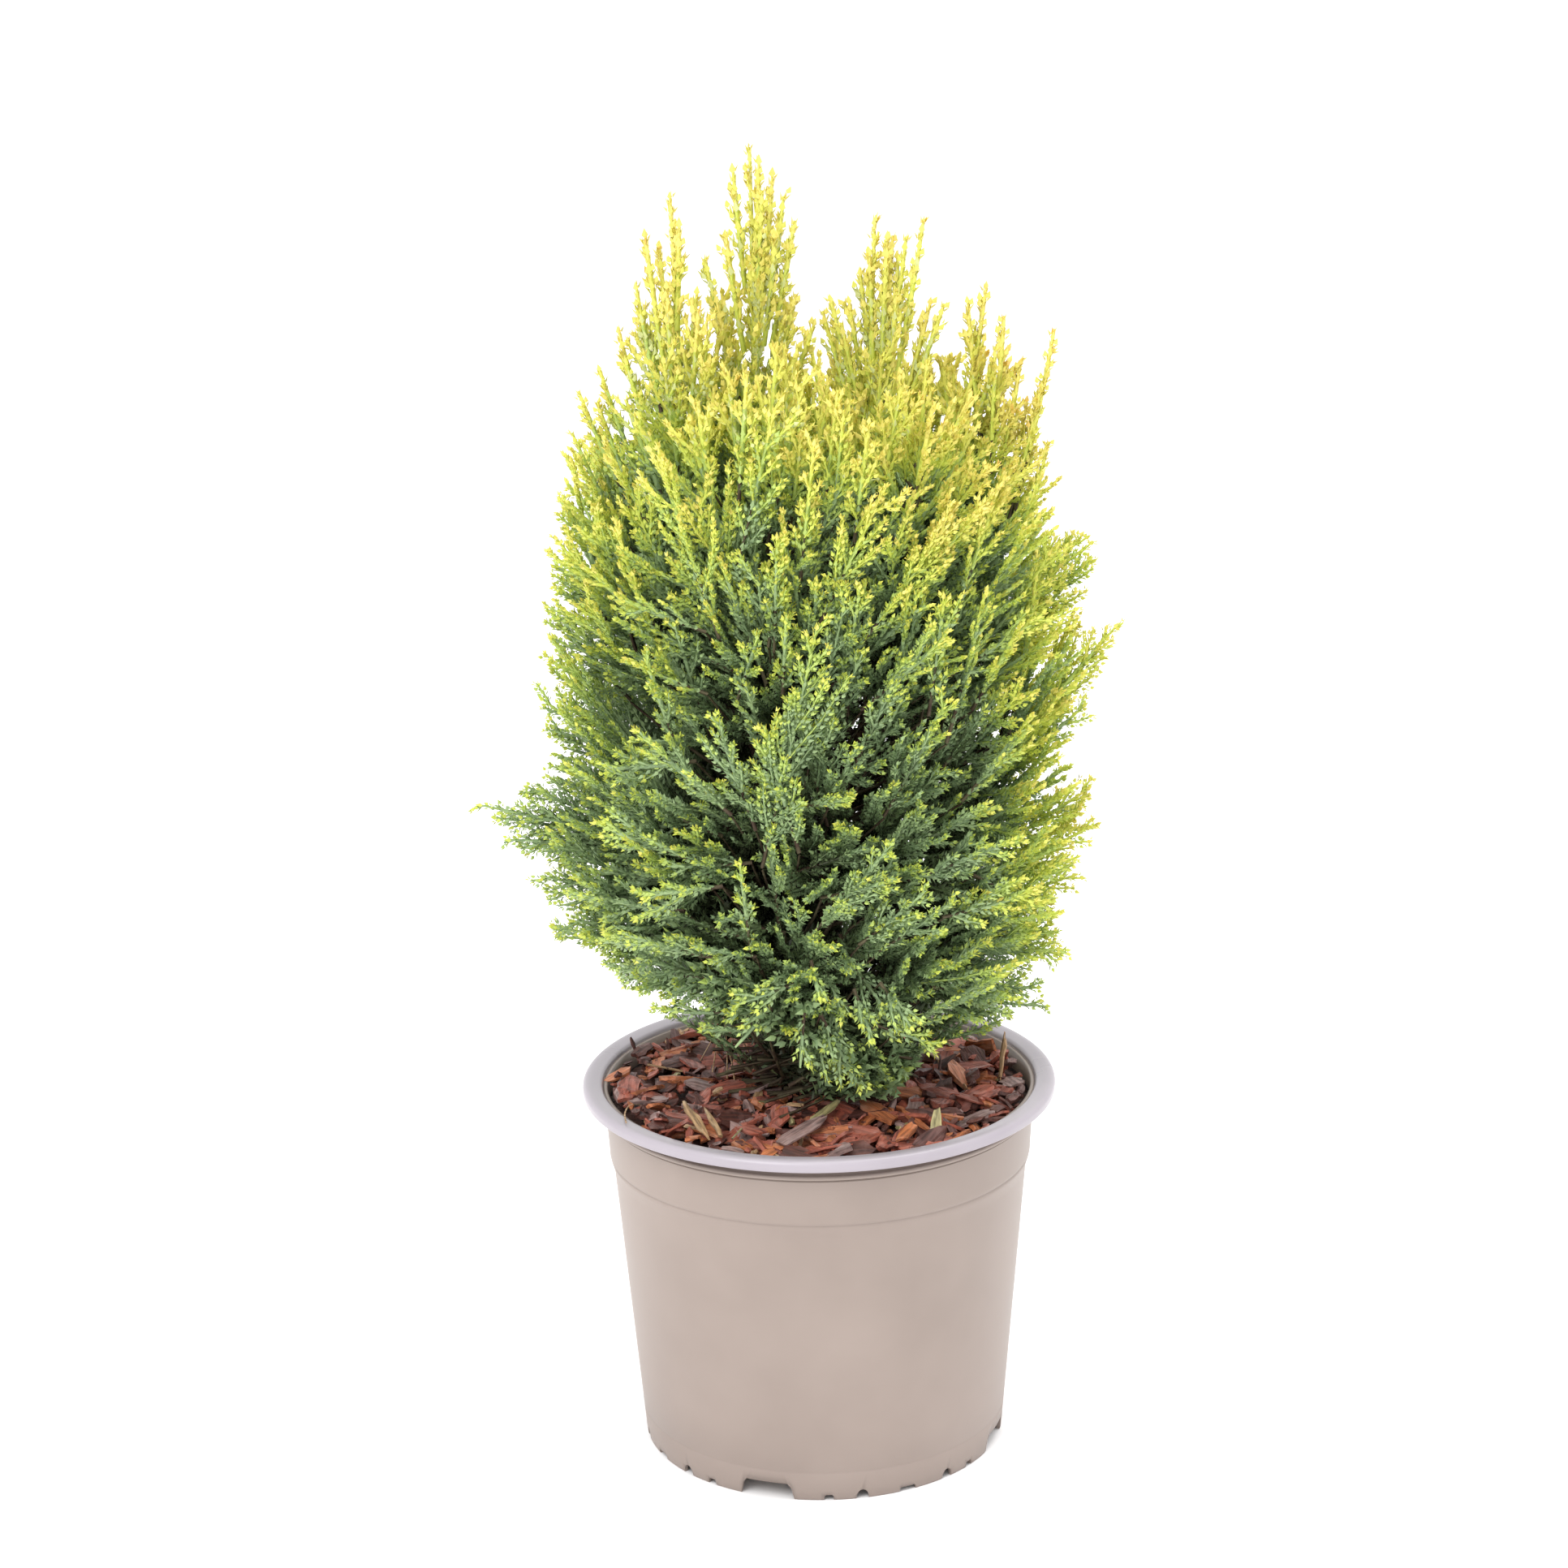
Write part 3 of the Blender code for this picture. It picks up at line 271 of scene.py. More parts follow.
# Inner plumes all round, then more low at the back: how many, the heights of their tips, how far out
# they end and how long they are, each from and to.
INNER_PLUMES = 700
INNER_HEIGHTS = (154, 410)
BACK_PLUMES = 56
BACK_HEIGHTS = (164, 250)
INNER_DEPTHS = (0.1, 0.78)
INNER_LENGTHS = (34, 52)

# Upright plumes of the shoulders: how many, the heights of their tips, how far out they end, how
# steeply they rise in degrees and how long they are, each from and to.
SHELL_PLUMES = 90
SHELL_HEIGHTS = (352, 444)
SHELL_DEPTHS = (0.55, 0.93)
SHELL_LIFTS = (70, 84)
SHELL_LENGTHS = (46, 62)

# The longest sprays of the shoulder plumes, the leading shoots and the tips beside them.
SHELL_REACH = 17
LEADER_REACH = 19
SIDE_TIP_REACH = 11
TO_FRONT = (0, -1, 0)

# Side shoots of each kind: distance from one to the next in millimetres, and angle in degrees. A
# small share of them grow half as long again.
FLAT_SPRAYS = (5.8, 31)
ROUND_SPRAYS = (5.6, 26)
TWIGS = (1.7, 38)
AXIS_STUBS = (4.0, 36)
INNER_SPRAYS = (8.5, 36)
INNER_TWIGS = (4.3, 40)
LONG_SHARE = 0.08
STUB_REACH = 6.0
SHORTEST_SPRAY = 4
SHORTEST_SHOOT = 1.2

# How much of a plume's leafy part is brown wood, and the radii of the green cores from foot to tip:
# of a spray, then of the three green stretches of a plume.
WOODY_SHARE = 0.35
CORE_RADII = ((0.7, 0.4), (1.0, 0.9), (0.9, 0.8), (0.8, 0.5))
MOST_TRIANGLES = 190000

SHOOT_KEYS = ("start", "heading", "face", "bend", "length", "bare", "hue", "age", "reach")
KITE = np.array([(0, 1, 2), (0, 2, 3)])

# The studio: the floor, the area lights with their place, power and width, and the camera's turn,
# drop and roll in degrees.
FLOOR_SIZE = 6
FLOOR_COLOUR = (0.93, 0.92, 0.92)
LIGHTS = [("key", (-0.9, -1.5, 1.9), 30, 1.3), ("top", (0.35, 0.1, 1.9), 22, 1.4)]
LIGHT_AIM = Vector((0, 0, 0.25))
CAMERA_ANGLES = (-0.49, 16.11, -1.06)


class PotSettings(bpy.types.PropertyGroup):
    wall_colour: FloatVectorProperty(
        name="Wall colour", description="Taupe plastic outside", subtype="COLOR",
        default=(0.262, 0.209, 0.181),
    )
    rim_colour: FloatVectorProperty(
        name="Rim colour", description="Lilac-grey plastic rim", subtype="COLOR",
        default=(0.334, 0.302, 0.336),
    )
    sides: IntProperty(name="Sides", description="Segments round the pot", default=168, min=32)


class MulchSettings(bpy.types.PropertyGroup):
    chips: IntProperty(name="Chips", description="Number of bark chips", default=560, min=50)
    longest: FloatProperty(
        name="Longest chip", description="Length of the largest chip", subtype="DISTANCE", default=22 * MM
    )
    crumbs: IntProperty(name="Crumbs", description="Number of small bits of bark", default=760, min=0)


class FoliageSettings(bpy.types.PropertyGroup):
    seed: IntProperty(name="Seed", description="Start of the growth rule", default=11)
    leaf_length: FloatProperty(
        name="Leaf length", description="Length of one scale leaf", subtype="DISTANCE", default=2.6 * MM
    )
    cord: FloatProperty(
        name="Cord", description="Radius of a shoot with its leaves", subtype="DISTANCE", default=0.74 * MM
    )
    leaf_step: FloatProperty(
        name="Leaf step", description="Distance from one leaf pair to the next", subtype="DISTANCE",
        default=1.8 * MM,
    )


class StudioSettings(bpy.types.PropertyGroup):
    distance: FloatProperty(
        name="Camera distance", description="From the pot's axis", subtype="DISTANCE", default=1.38
    )
    height: FloatProperty(
        name="Camera height", description="Above the floor", subtype="DISTANCE", default=0.672
    )
    lens: FloatProperty(name="Lens", description="Focal length in millimetres", default=83.9)
    fill: FloatProperty(name="Fill light", description="Strength of the white surroundings", default=1.34)


class Socket:
    """A shader socket that can be used in Python expressions."""

    def __init__(self, tree, link):
        self.tree = tree
        self.link = link

    def node(self, kind, settings=None, output=0, **values):
        """Adds a node: its settings first, then a value or a link for each named or numbered input."""
        made = self.tree.nodes.new(kind)
        for key, value in (settings or {}).items():
            setattr(made, key, value)
        for key, value in values.items():
            name = key.replace("_", " ")
            target = made.inputs[int(name[2:])] if name.startswith("in") else made.inputs[name]
            if isinstance(value, Socket):
                self.tree.links.new(value.link, target)
            else:
                target.default_value = value
        return Socket(self.tree, made.outputs[output])

    def maths(self, operation, first, second):
        return self.node("ShaderNodeMath", {"operation": operation}, in0=first, in1=second)

    def __add__(self, other):
        return self.maths("ADD", self, other)

    def __radd__(self, other):
        return self.maths("ADD", other, self)

    def __sub__(self, other):
        return self.maths("SUBTRACT", self, other)

    def __rsub__(self, other):
        return self.maths("SUBTRACT", other, self)

    def __mul__(self, other):
        return self.maths("MULTIPLY", self, other)

    def __rmul__(self, other):
        return self.maths("MULTIPLY", other, self)

    def ramp(self, low, high):
        """This value stretched so that low becomes 0 and high becomes 1, held between them."""
        return self.node("ShaderNodeMapRange", {"clamp": True}, Value=self, From_Min=low, From_Max=high)

    def mixed(self, *colours):
        """A colour between two, chosen by this value."""
        first, second = (c if isinstance(c, Socket) else colour4(c) for c in colours)
        return self.node("ShaderNodeMix", {"data_type": "RGBA"}, output=2, in0=self, in6=first, in7=second)

    def noise(self, scale, detail, **more):
        return self.node("ShaderNodeTexNoise", Vector=self, Scale=scale, Detail=detail, **more)

    def bump(self, strength, distance):
        return self.node("ShaderNodeBump", Strength=strength, Distance=distance, Height=self)


def new_material(name, roughness=0.5, specular=0.5):
    """A material with one Principled shader; returns it, its shader and a starting socket."""
    material = bpy.data.materials.new(name)
    material.use_nodes = True
    shader = material.node_tree.nodes["Principled BSDF"]
    shader.inputs["Roughness"].default_value = roughness
    shader.inputs["Specular IOR Level"].default_value = specular
    place = material.node_tree.nodes.new("ShaderNodeTexCoord")
    return material, shader, Socket(material.node_tree, place.outputs["Object"])


def feed(shader, name, socket):
    socket.tree.links.new(socket.link, shader.inputs[name])


def colour4(colour):
    return (*colour, 1)


def add_piece(name, mesh, material, slot, replaced=()):
    """A shown piece that rides on the plant's one body."""
    piece = bpy.data.objects.new(name, mesh)
    bpy.context.scene.collection.objects.link(piece)
    mesh.materials.append(material)
    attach(piece, "root")
    if replaced:
        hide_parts(*replaced)
    return piece


def mesh_of(name, points, faces, smooth=False):
    """A mesh from lists of points and of faces."""
    mesh = bpy.data.meshes.new(name)
    mesh.from_pydata(points, [], faces)
    if smooth:
        mesh.polygons.foreach_set("use_smooth", [True] * len(faces))
    return mesh


def mesh_of_arrays(name, points, triangles):
    """A mesh from an array of points and an array of triangles."""
    mesh = bpy.data.meshes.new(name)
    mesh.vertices.add(len(points))
    mesh.vertices.foreach_set("co", np.ascontiguousarray(points, np.float32).ravel())
    mesh.loops.add(len(triangles) * 3)
    mesh.loops.foreach_set("vertex_index", np.ascontiguousarray(triangles, np.int32).ravel())
    mesh.polygons.add(len(triangles))
    mesh.polygons.foreach_set("loop_start", np.arange(0, len(triangles) * 3, 3, dtype=np.int32))
    mesh.update(calc_edges=True)
    return mesh


def between(start, end, share):
    """The value, place or array that lies at a share of the way from start to end."""
    return start + (end - start) * share


def direction(azimuth, lift=0.0):
    """The direction at an azimuth that rises by the lift, both in radians."""
    flat = math.cos(lift)
    return Vector((flat * math.cos(azimuth), flat * math.sin(azimuth), math.sin(lift)))


def band_faces(rings, sides):
    """Faces round a tube whose points follow ring by ring."""
    faces = []
    for ring in range(rings - 1):
        here, there = ring * sides, (ring + 1) * sides
        for side in range(sides):
            after = (side + 1) % sides
            faces.append((here + side, here + after, there + after, there + side))
    return faces


def pot_radius(height):
    """Outer radius of the pot's wall: a tapered body, a small step, then the collar."""
    radii, heights = zip((BASE_RADIUS, 0), STEP_BOTTOM, STEP_TOP, COLLAR_TOP)
    return float(np.interp(height, heights, radii))


def lathe(name, profile, sides, closed):
    """A surface of revolution about +Z, its profile given as (radius, height) in order."""
    points, faces = [], []
    count = len(profile)
    for side in range(sides):
        turn = TURN * side / sides
        points.extend((r * math.cos(turn), r * math.sin(turn), z) for r, z in profile)
        here, there = side * count, (side + 1) % sides * count
        for k in range(count if closed else count - 1):
            after = (k + 1) % count
            faces.append((here + k, there + k, there + after, here + after))
    return mesh_of(name, points, faces, smooth=True)


def arc(centre, radius, start, end, steps):
    """Points (radius, height) on a circular arc of the profile, angles in degrees."""
    points = []
    for k in range(steps + 1):
        angle = math.radians(between(start, end, k / steps))
        points.append((centre[0] + radius * math.cos(angle), centre[1] + radius * math.sin(angle)))
    return points


def notch_cutter(shape, azimuth, width, height, round_top):
    """Adds one cutter through the foot at an azimuth from the front."""
    outline = [(-width / 2, -2 * MM), (width / 2, -2 * MM)]
    if round_top:
        turns = [math.pi * k / 12 for k in range(13)]
        outline += [(width / 2 * math.cos(turn), height * math.sin(turn)) for turn in turns]
    else:
        top, corner = 0.42 * width, 0.3 * height
        low, high = top + 0.2 * corner, top - 0.6 * corner
        outline += [(low, height - corner), (high, height), (-high, height), (-low, height - corner)]
    turned = Matrix.Rotation(azimuth, 4, "Z")
    rings = []
    for depth in (-6 * MM, 6 * MM):
        corners = [turned @ Vector((across, -(BASE_RADIUS + depth), up)) for across, up in outline]
        rings.append([shape.verts.new(corner) for corner in corners])
    for k in range(len(outline)):
        shape.faces.new([rings[0][k], rings[0][k - 1], rings[1][k - 1], rings[1][k]])
    shape.faces.new(rings[0])
    shape.faces.new(rings[1][::-1])


def cut_notches(wall):
    """Cuts the foot's notches, the same in each quadrant, turned to match the front view."""
    shape = bmesh.new()
    for quadrant in range(4):
        middle = NOTCH_QUADRANT + quadrant * TURN / 4
        for degrees, width, height, round_top in NOTCHES:
            notch_cutter(shape, middle + math.radians(degrees), width * MM, height * MM, round_top)
    bmesh.ops.recalc_face_normals(shape, faces=shape.faces)
    mesh = bpy.data.meshes.new("notches")
    shape.to_mesh(mesh)
    shape.free()
    cutter = bpy.data.objects.new("notches", mesh)
    bpy.context.scene.collection.objects.link(cutter)
    cut = wall.modifiers.new("notches", "BOOLEAN")
    cut.operation = "DIFFERENCE"
    cut.solver = "EXACT"
    cut.object = cutter
    graph = bpy.context.evaluated_depsgraph_get()
    result = bpy.data.meshes.new_from_object(wall.evaluated_get(graph))
    wall.modifiers.clear()
    wall.data = result
    bpy.data.objects.remove(cutter, do_unlink=True)


def plastic(name, colour, roughness):
    """Moulded plastic: a slight mottle in its colour, a fine grain, and patches that are darker low on the
    wall.
    """
    material, shader, place = new_material(name, roughness)
    mottle = place.noise(22.0, 3.0)
    height = place.node("ShaderNodeSeparateXYZ", output=2, Vector=place)
    # Patches in the lowest 14 mm of the wall are made darker.
    low_darkening = height.ramp(14 * MM, 0.0) * mottle.ramp(0.35, 0.7)
    darker, low_darker_colour = ([c * share for c in colour] for share in (0.96, 0.72))
    mottled = mottle.ramp(0.3, 0.7).mixed(darker, [min(1, c * 1.05 + 0.012) for c in colour])
    feed(shader, "Base Color", (low_darkening * 0.35).mixed(mottled, low_darker_colour))
    feed(shader, "Roughness", mottle.ramp(0.3, 0.7) * 0.08 + (roughness - 0.04))
    feed(shader, "Normal", place.noise(1500.0, 2.0).bump(0.06, 0.0003))
    return material


def on_wall(heights, inward=0.0):
    """Points (radius, height) of the pot's wall at some heights in millimetres."""
    return [(pot_radius(z * MM) - inward, z * MM) for z in heights]


class CYPRESS_OT_pot(bpy.types.Operator):
    """Builds the pot: its taupe wall with the notched foot, its lilac-grey rim and its dark inside"""

    bl_idname = "cypress.pot"
    bl_label = "Build pot"

    def execute(self, context):
        look = context.scene.cypress_pot
        lip, top, step, collar = RIM_RADIUS, POT_HEIGHT, STEP_BOTTOM[1], COLLAR_TOP[0]
        taupe = plastic("taupe_plastic", tuple(look.wall_colour), 0.42)

        def turned(name, profile, material, closed=False):
            return add_piece(name, lathe(name, profile, look.sides, closed), material, "pot_plastic", ["pot"])

        edge = BASE_RADIUS - 0.4 * MM
        wall_profile = [(edge - WALL, 0), (edge, 0), (BASE_RADIUS, 0.5 * MM)]
        wall_profile += on_wall((4, 11.6))
        wall_profile += on_wall([12.2], 0.22 * MM)
        wall_profile += on_wall((12.8, 30, 50, 70, 90, 108))
        wall_profile += [(pot_radius(step - 1.4 * MM), step - 1.4 * MM), (pot_radius(step) + 0.1 * MM, step)]
        wall_profile += [(pot_radius(step + 3 * MM), step + 3 * MM)]
        for out, up in ((-0.15, -1.1), (-0.5, -0.6), (0.05, -0.1)):
            wall_profile.append((STEP_TOP[0] + out * MM, STEP_TOP[1] + up * MM))
        wall_profile += on_wall((123, 130, 138, 139.9, 140.1))
        bead = pot_radius(142 * MM)
        wall_profile += [(bead + out * MM, z * MM) for out, z in BEAD_UNDER_RIM]
        wall_profile += [(collar + 0.6 * MM, 149.6 * MM), (collar - 1.2 * MM, 149.6 * MM)]
        wall_profile += on_wall((141, 122, 100, 60, FOOT_FLOOR / MM - 1), WALL)
        wall = turned("pot_wall", wall_profile, taupe, closed=True)
        cut_notches(wall)
        wall.data.materials.clear()
        wall.data.materials.append(taupe)

        inside_top = (collar - WALL + 0.2 * MM, top - 4.4 * MM)
        inside_profile = on_wall([100], WALL + 0.02 * MM) + on_wall([143], WALL) + [inside_top]
        turned("pot_inside", inside_profile, plastic("dark_grey_plastic", INSIDE_COLOUR, 0.4))

        rim_profile = [inside_top]
        rim_profile += arc((RIM_INNER_RADIUS + 1.4 * MM, top - 2.4 * MM), 1.9 * MM, 180, 100, 5)
        rim_profile += [(RIM_INNER_RADIUS + 3 * MM, top - 0.3 * MM), (lip - 3.4 * MM, top)]
        rim_profile += arc((lip - 2.4 * MM, top - 2.4 * MM), 2.4 * MM, 80, 0, 7)
        rim_profile += [(lip - 0.15 * MM, top - 3.6 * MM)]
        rim_profile += arc((lip - 0.75 * MM, top - 4.1 * MM), 0.6 * MM, -10, -170, 5)
        rim_profile += [(lip - 1.5 * MM, top - 3.2 * MM), (lip - 2.8 * MM, top - 1.8 * MM)]
        rim_profile += [(collar + 1.4 * MM, top - 2 * MM), (collar + 0.7 * MM, top - 4 * MM)]
        turned("pot_rim", rim_profile, plastic("lilac_grey_plastic", tuple(look.rim_colour), 0.3))

        floor_profile = [
            (pot_radius(FOOT_FLOOR) - 0.6 * MM, FOOT_FLOOR - WALL),
            (BOSS_RADIUS + 3.6 * MM, FOOT_FLOOR - WALL),
            (BOSS_RADIUS + 0.9 * MM, 0.4 * MM), (BOSS_RADIUS + 0.3 * MM, 0), (0.02 * MM, 0),
        ]
        turned("pot_underside", floor_profile, taupe)
        return {"FINISHED"}


def bark_material(name, colour, seed, pale, by_grain=True):
    """Bark or wood with grain along each chip, read from the chip's own coordinates."""
    material, shader, grain = new_material(name, 0.72, 0.5)
    if by_grain:
        grain = grain.node("ShaderNodeAttribute", {"attribute_name": "grain"}, output=1)
    along = grain.node("ShaderNodeMapping", Vector=grain, Scale=(90, 700, 500), Location=(seed, 0, 0))
    fibre = along.noise(1.0, 5.0, Roughness=0.6)
    patch = grain.noise(130.0, 3.0)
    body = fibre.ramp(0.36, 0.6).mixed([c * 0.33 for c in colour], colour)
    feed(shader, "Base Color", (patch.ramp(0.52, 0.76) * 0.5).mixed(body, pale))
    feed(shader, "Roughness", fibre.ramp(0.3, 0.7) * -0.3 + 0.72)
    feed(shader, "Normal", fibre.bump(0.7, 0.0008))
    return material


def chip_shape(rough, length, width, thick, rows=5):
    """A ragged chip: rows of points across its grain, with a broken edge at each end."""
    points = []
    for row in range(rows):
        place = row / (rows - 1) - 0.5
        ragged = rough.uniform(0.75, 1.1) * (1 - (2 * abs(place)) ** 3 * rough.uniform(0.2, 0.9))
        slide = rough.uniform(-0.1, 0.1) * width
        curl = -4 * place * place * rough.uniform(0, 0.25) * thick
        for across in (-0.5, 0, 0.5):
            end = rough.uniform(-0.09, 0.09) * length if row in (0, rows - 1) else 0
            lift = rough.uniform(0.25, 0.55) if across == 0 else rough.uniform(0.05, 0.4)
            x = place * length + end
            y = across * width * ragged + slide
            points.append((x, y, lift * thick + curl))
            points.append((x * 0.96, y * 0.92, -rough.uniform(0.2, 0.5) * thick + curl))
    faces = [tuple(6 * row + k for k in side) for row in range(rows - 1) for side in CHIP_SIDES]
    faces += CHIP_END
    faces += [tuple(6 * (rows - 1) + k for k in end[::-1]) for end in CHIP_END]
    return points, faces


def strand(path, radius=0.28 * MM, steps=10):
    """Points and faces of a thin strand along a smooth curve."""
    points = []
    for k in range(steps + 1):
        centre = curve_point(path, (len(path) - 1) * k / steps)
        points += [centre + direction(TURN * corner / 4) * radius for corner in range(4)]
    return points, band_faces(steps + 1, 4)


def litter_pieces(rough):
    """The single pieces and strands, each with its kind, shape and place."""
    for kind, start, end, width in LITTER:
        start, end = Vector(start) * MM, Vector(end) * MM
        along = (end - start).normalized()
        side = Vector((0, 0, 1)).cross(along).normalized()
        place = Matrix((along, side, along.cross(side))).transposed().to_4x4()
        length = (end - start).length
        shape = chip_shape(rough, length, width * MM, min(1.6 * MM, width * MM * 0.7))
        yield kind, shape, Matrix.Translation((start + end) / 2) @ place
    for path in STRANDS:
        yield "straw", strand([Vector(point) * MM for point in path]), Matrix.Identity(4)


def with_grain(mesh, places):
    """Gives a mesh its "grain" attribute: the coordinates that its bark's grain is read from."""
    grain = mesh.attributes.new("grain", "FLOAT_VECTOR", "POINT")
    grain.data.foreach_set("vector", [c for place in places for c in place])
    return mesh


def chips_mesh(name, placed):
    """One mesh of many chips, where the grain keeps each chip's own coordinates."""
    points, faces, grain = [], [], []
    for (shape_points, shape_faces), matrix, offset in placed:
        first = len(points)
        points.extend(matrix @ Vector(point) for point in shape_points)
        grain.extend((p[0] + offset, p[1] + offset * 0.37, p[2]) for p in shape_points)
        faces.extend([tuple(first + k for k in face) for face in shape_faces])
    return with_grain(mesh_of(name, points, faces), grain)


def bed_mesh(rings, sides):
    """The crumbly bed under the chips: a disc with small lumps, a little lower at its edge."""
    points, faces = [(0, 0, MULCH_LEVEL - 1.2 * MM)], []
    for ring in range(1, rings + 1):
        radius = MULCH_RADIUS * ring / rings
        for side in range(sides):
            place = direction(TURN * side / sides) * radius
            lump = noise.noise(place * 90) * 1.6 + noise.noise(place * 260) * 0.9
            edge = 1.2 if ring == rings else 0
            points.append((place.x, place.y, MULCH_LEVEL + (lump - 1.6 - edge) * MM))
    for side in range(sides):
        after = (side + 1) % sides
        faces.append((0, 1 + side, 1 + after))
        for here in range(1, 1 + (rings - 1) * sides, sides):
            there = here + sides
            faces.append((here + side, there + side, there + after, here + after))
    return with_grain(mesh_of("mulch_bed", points, faces), points)


BARK_KINDS = [
    ("red_brown", (0.37, 0.1, 0.062), (0.56, 0.31, 0.26), 42),
    ("dark_brown", (0.11, 0.036, 0.026), (0.3, 0.16, 0.14), 30),
    ("rust_brown", (0.5, 0.16, 0.06), (0.62, 0.36, 0.25), 14),
    ("grey_brown", (0.33, 0.21, 0.19), (0.56, 0.43, 0.41), 9),
    ("straw", (0.5, 0.31, 0.16), (0.72, 0.56, 0.37), 3),
    ("olive", (0.42, 0.36, 0.16), (0.6, 0.54, 0.33), 1),
]

# Single pieces seen on the mulch: kind, one end and the other in millimetres, width.
LITTER = [
    ("straw", (-43, -63, 150), (-54, -37, 156), 4), ("straw", (-38, -60, 149.5), (-45, -42, 154), 2.6),
    ("rust_brown", (-86, 2, 149.5), (-76, 5, 153), 8), ("olive", (-4, -51, 150), (7, -34, 153), 5),
    ("grey_brown", (-16, -71, 150), (2, -50, 152.5), 8.5),
    ("rust_brown", (33, -40, 151), (42.5, -58, 150), 3.2), ("olive", (44.5, -62, 148), (46, -56, 158), 5),
    ("straw", (73, 6, 147), (75.5, 9, 164), 2.2),
    ("straw", (44, 33, 150), (49, 15, 151), 1.8), ("dark_brown", (-74, 34, 147), (-77, 36, 155), 1.8),
    ("dark_brown", (-61, 36, 147), (-62, 38, 154), 1.5), ("straw", (-13, -31, 151), (-7, -34, 152), 2.2),
    ("straw", (-42, -17, 151), (-38.5, -16, 152.5), 3), ("rust_brown", (30, -66, 149), (37, -60, 153), 7),
    ("grey_brown", (-75, -18, 149), (-60, -26, 152), 8), ("red_brown", (-30, -52, 150), (-22, -62, 151), 9),
]

# Dry strands: their points in millimetres, from one end to the other.
STRANDS = [
    [(-38, 20, 170), (-37, 12, 160), (-37, 4, 149)], [(-38, 20, 170), (-34, 15, 160), (-30, 9, 150)],
    [(-38, 20, 170), (-41, 15, 160), (-43, 9, 150)], [(-38, 20, 170), (-32, 19, 162), (-26, 14, 151)],
    [(-38, 20, 170), (-42, 20, 162), (-48, 17, 152)], [(-37, 12, 160), (-35, 6, 155), (-34, 2, 149)],
    [(-68, -27, 149.5), (-74, -34, 153), (-76, -44, 153.3), (-75, -54, 153)],
]


class CYPRESS_OT_mulch(bpy.types.Operator):
    """Builds the bark mulch: a dark crumbly bed and loose chips of several kinds lying on it"""

    bl_idname = "cypress.mulch"
    bl_label = "Build mulch"

    def execute(self, context):
        look = context.scene.cypress_mulch
        rough = random.Random(8)
        earth = bark_material("dark_crumbs", (0.08, 0.033, 0.024), 3.0, (0.17, 0.085, 0.065))
        add_piece("mulch_bed", bed_mesh(26, 96), earth, "mulch", ["bark_mulch"])
        peat = bark_material("moist_peat", (0.035, 0.02, 0.013), 5.0, (0.07, 0.045, 0.03), by_grain=False)
        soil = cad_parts["potting_soil"].data.materials
        soil.clear()
        soil.append(peat)

        placed = {kind[0]: [] for kind in BARK_KINDS}
        weights = [kind[3] for kind in BARK_KINDS]
        for k in range(look.chips + look.crumbs):
            kind = rough.choices(BARK_KINDS, weights)[0][0]
            crumb = k >= look.chips
            share = math.sqrt(((k % look.chips) + 0.5) / look.chips)
            radius = share * (MULCH_RADIUS - 2 * MM)
            turn = k * GOLDEN_TURN + rough.uniform(-0.3, 0.3)
            length = look.longest * rough.uniform(0.4, 1) ** 1.7
            width = min(length * rough.uniform(0.34, 0.8), 10 * MM)
            thick = rough.uniform(1.2, 3.2) * MM
            if crumb:
                length, thick = rough.uniform(2, 7) * MM, rough.uniform(0.8, 2.4) * MM
                width = length * rough.uniform(0.4, 0.9)
            elif kind == "straw":
                length, width, thick = rough.uniform(6, 14) * MM, rough.uniform(1.2, 2.6) * MM, 1 * MM
            heading = rough.uniform(0, TURN)
            tilt = rough.gauss(0, 0.42)
            pitch = rough.gauss(0, 0.3)
            if radius > MULCH_RADIUS - 0.4 * MM - length / 2:
                heading = turn + TURN / 4 + rough.uniform(-MOST_ASKEW, MOST_ASKEW)
                swing = math.sin(MOST_ASKEW) * length / 5
                radius = min(radius, MULCH_RADIUS - width / 2 - 1.2 * MM - swing)
            heap = WINDWARD_HEAP * max(0, -math.cos(turn)) * share ** 3
            height = MULCH_LEVEL + heap + rough.uniform(0.4, 4.6) * MM
            turned = Matrix.Rotation(heading, 4, "Z") @ Matrix.Rotation(pitch, 4, "Y")
            turned = turned @ Matrix.Rotation(tilt, 4, "X")
            place = direction(turn) * radius + Vector((0, 0, height))
            shape = chip_shape(rough, length, width, thick, 3 if crumb else 5)
            placed[kind].append((shape, Matrix.Translation(place) @ turned, k * 0.031))
        for number, (kind, shape, matrix) in enumerate(litter_pieces(rough)):
            placed[kind].append((shape, matrix, number * 0.047))
        for number, (kind, colour, pale, _) in enumerate(BARK_KINDS):
            name = "bark_chips_" + kind
            bark = bark_material("bark_" + kind, colour, 1.7 * number, pale)
            add_piece(name, chips_mesh(name, placed[kind]), bark, "mulch")
        return {"FINISHED"}


def curve_point(points, place):
    """A smooth curve through the points, read at a place from 0 to its last point's number."""
    k = min(int(place), len(points) - 2)
    t = place - k
    before = points[max(k - 1, 0)]
    after = points[min(k + 2, len(points) - 1)]
    start, end = points[k], points[k + 1]
    leave = (end - before) / 2
    arrive = (after - start) / 2
    return (
        start * (1 - 3 * t * t + 2 * t * t * t)
        + leave * (t - 2 * t * t + t * t * t)
        + end * (3 * t * t - 2 * t * t * t)
        + arrive * (t * t * t - t * t)
    )


def trunk_at(height):
    low, high = 0, len(TRUNK_LINE) - 1
    for _ in range(30):
        middle = (low + high) / 2
        if curve_point(TRUNK_LINE, middle).z < height:
            low = middle
        else:
            high = middle
    return curve_point(TRUNK_LINE, low)


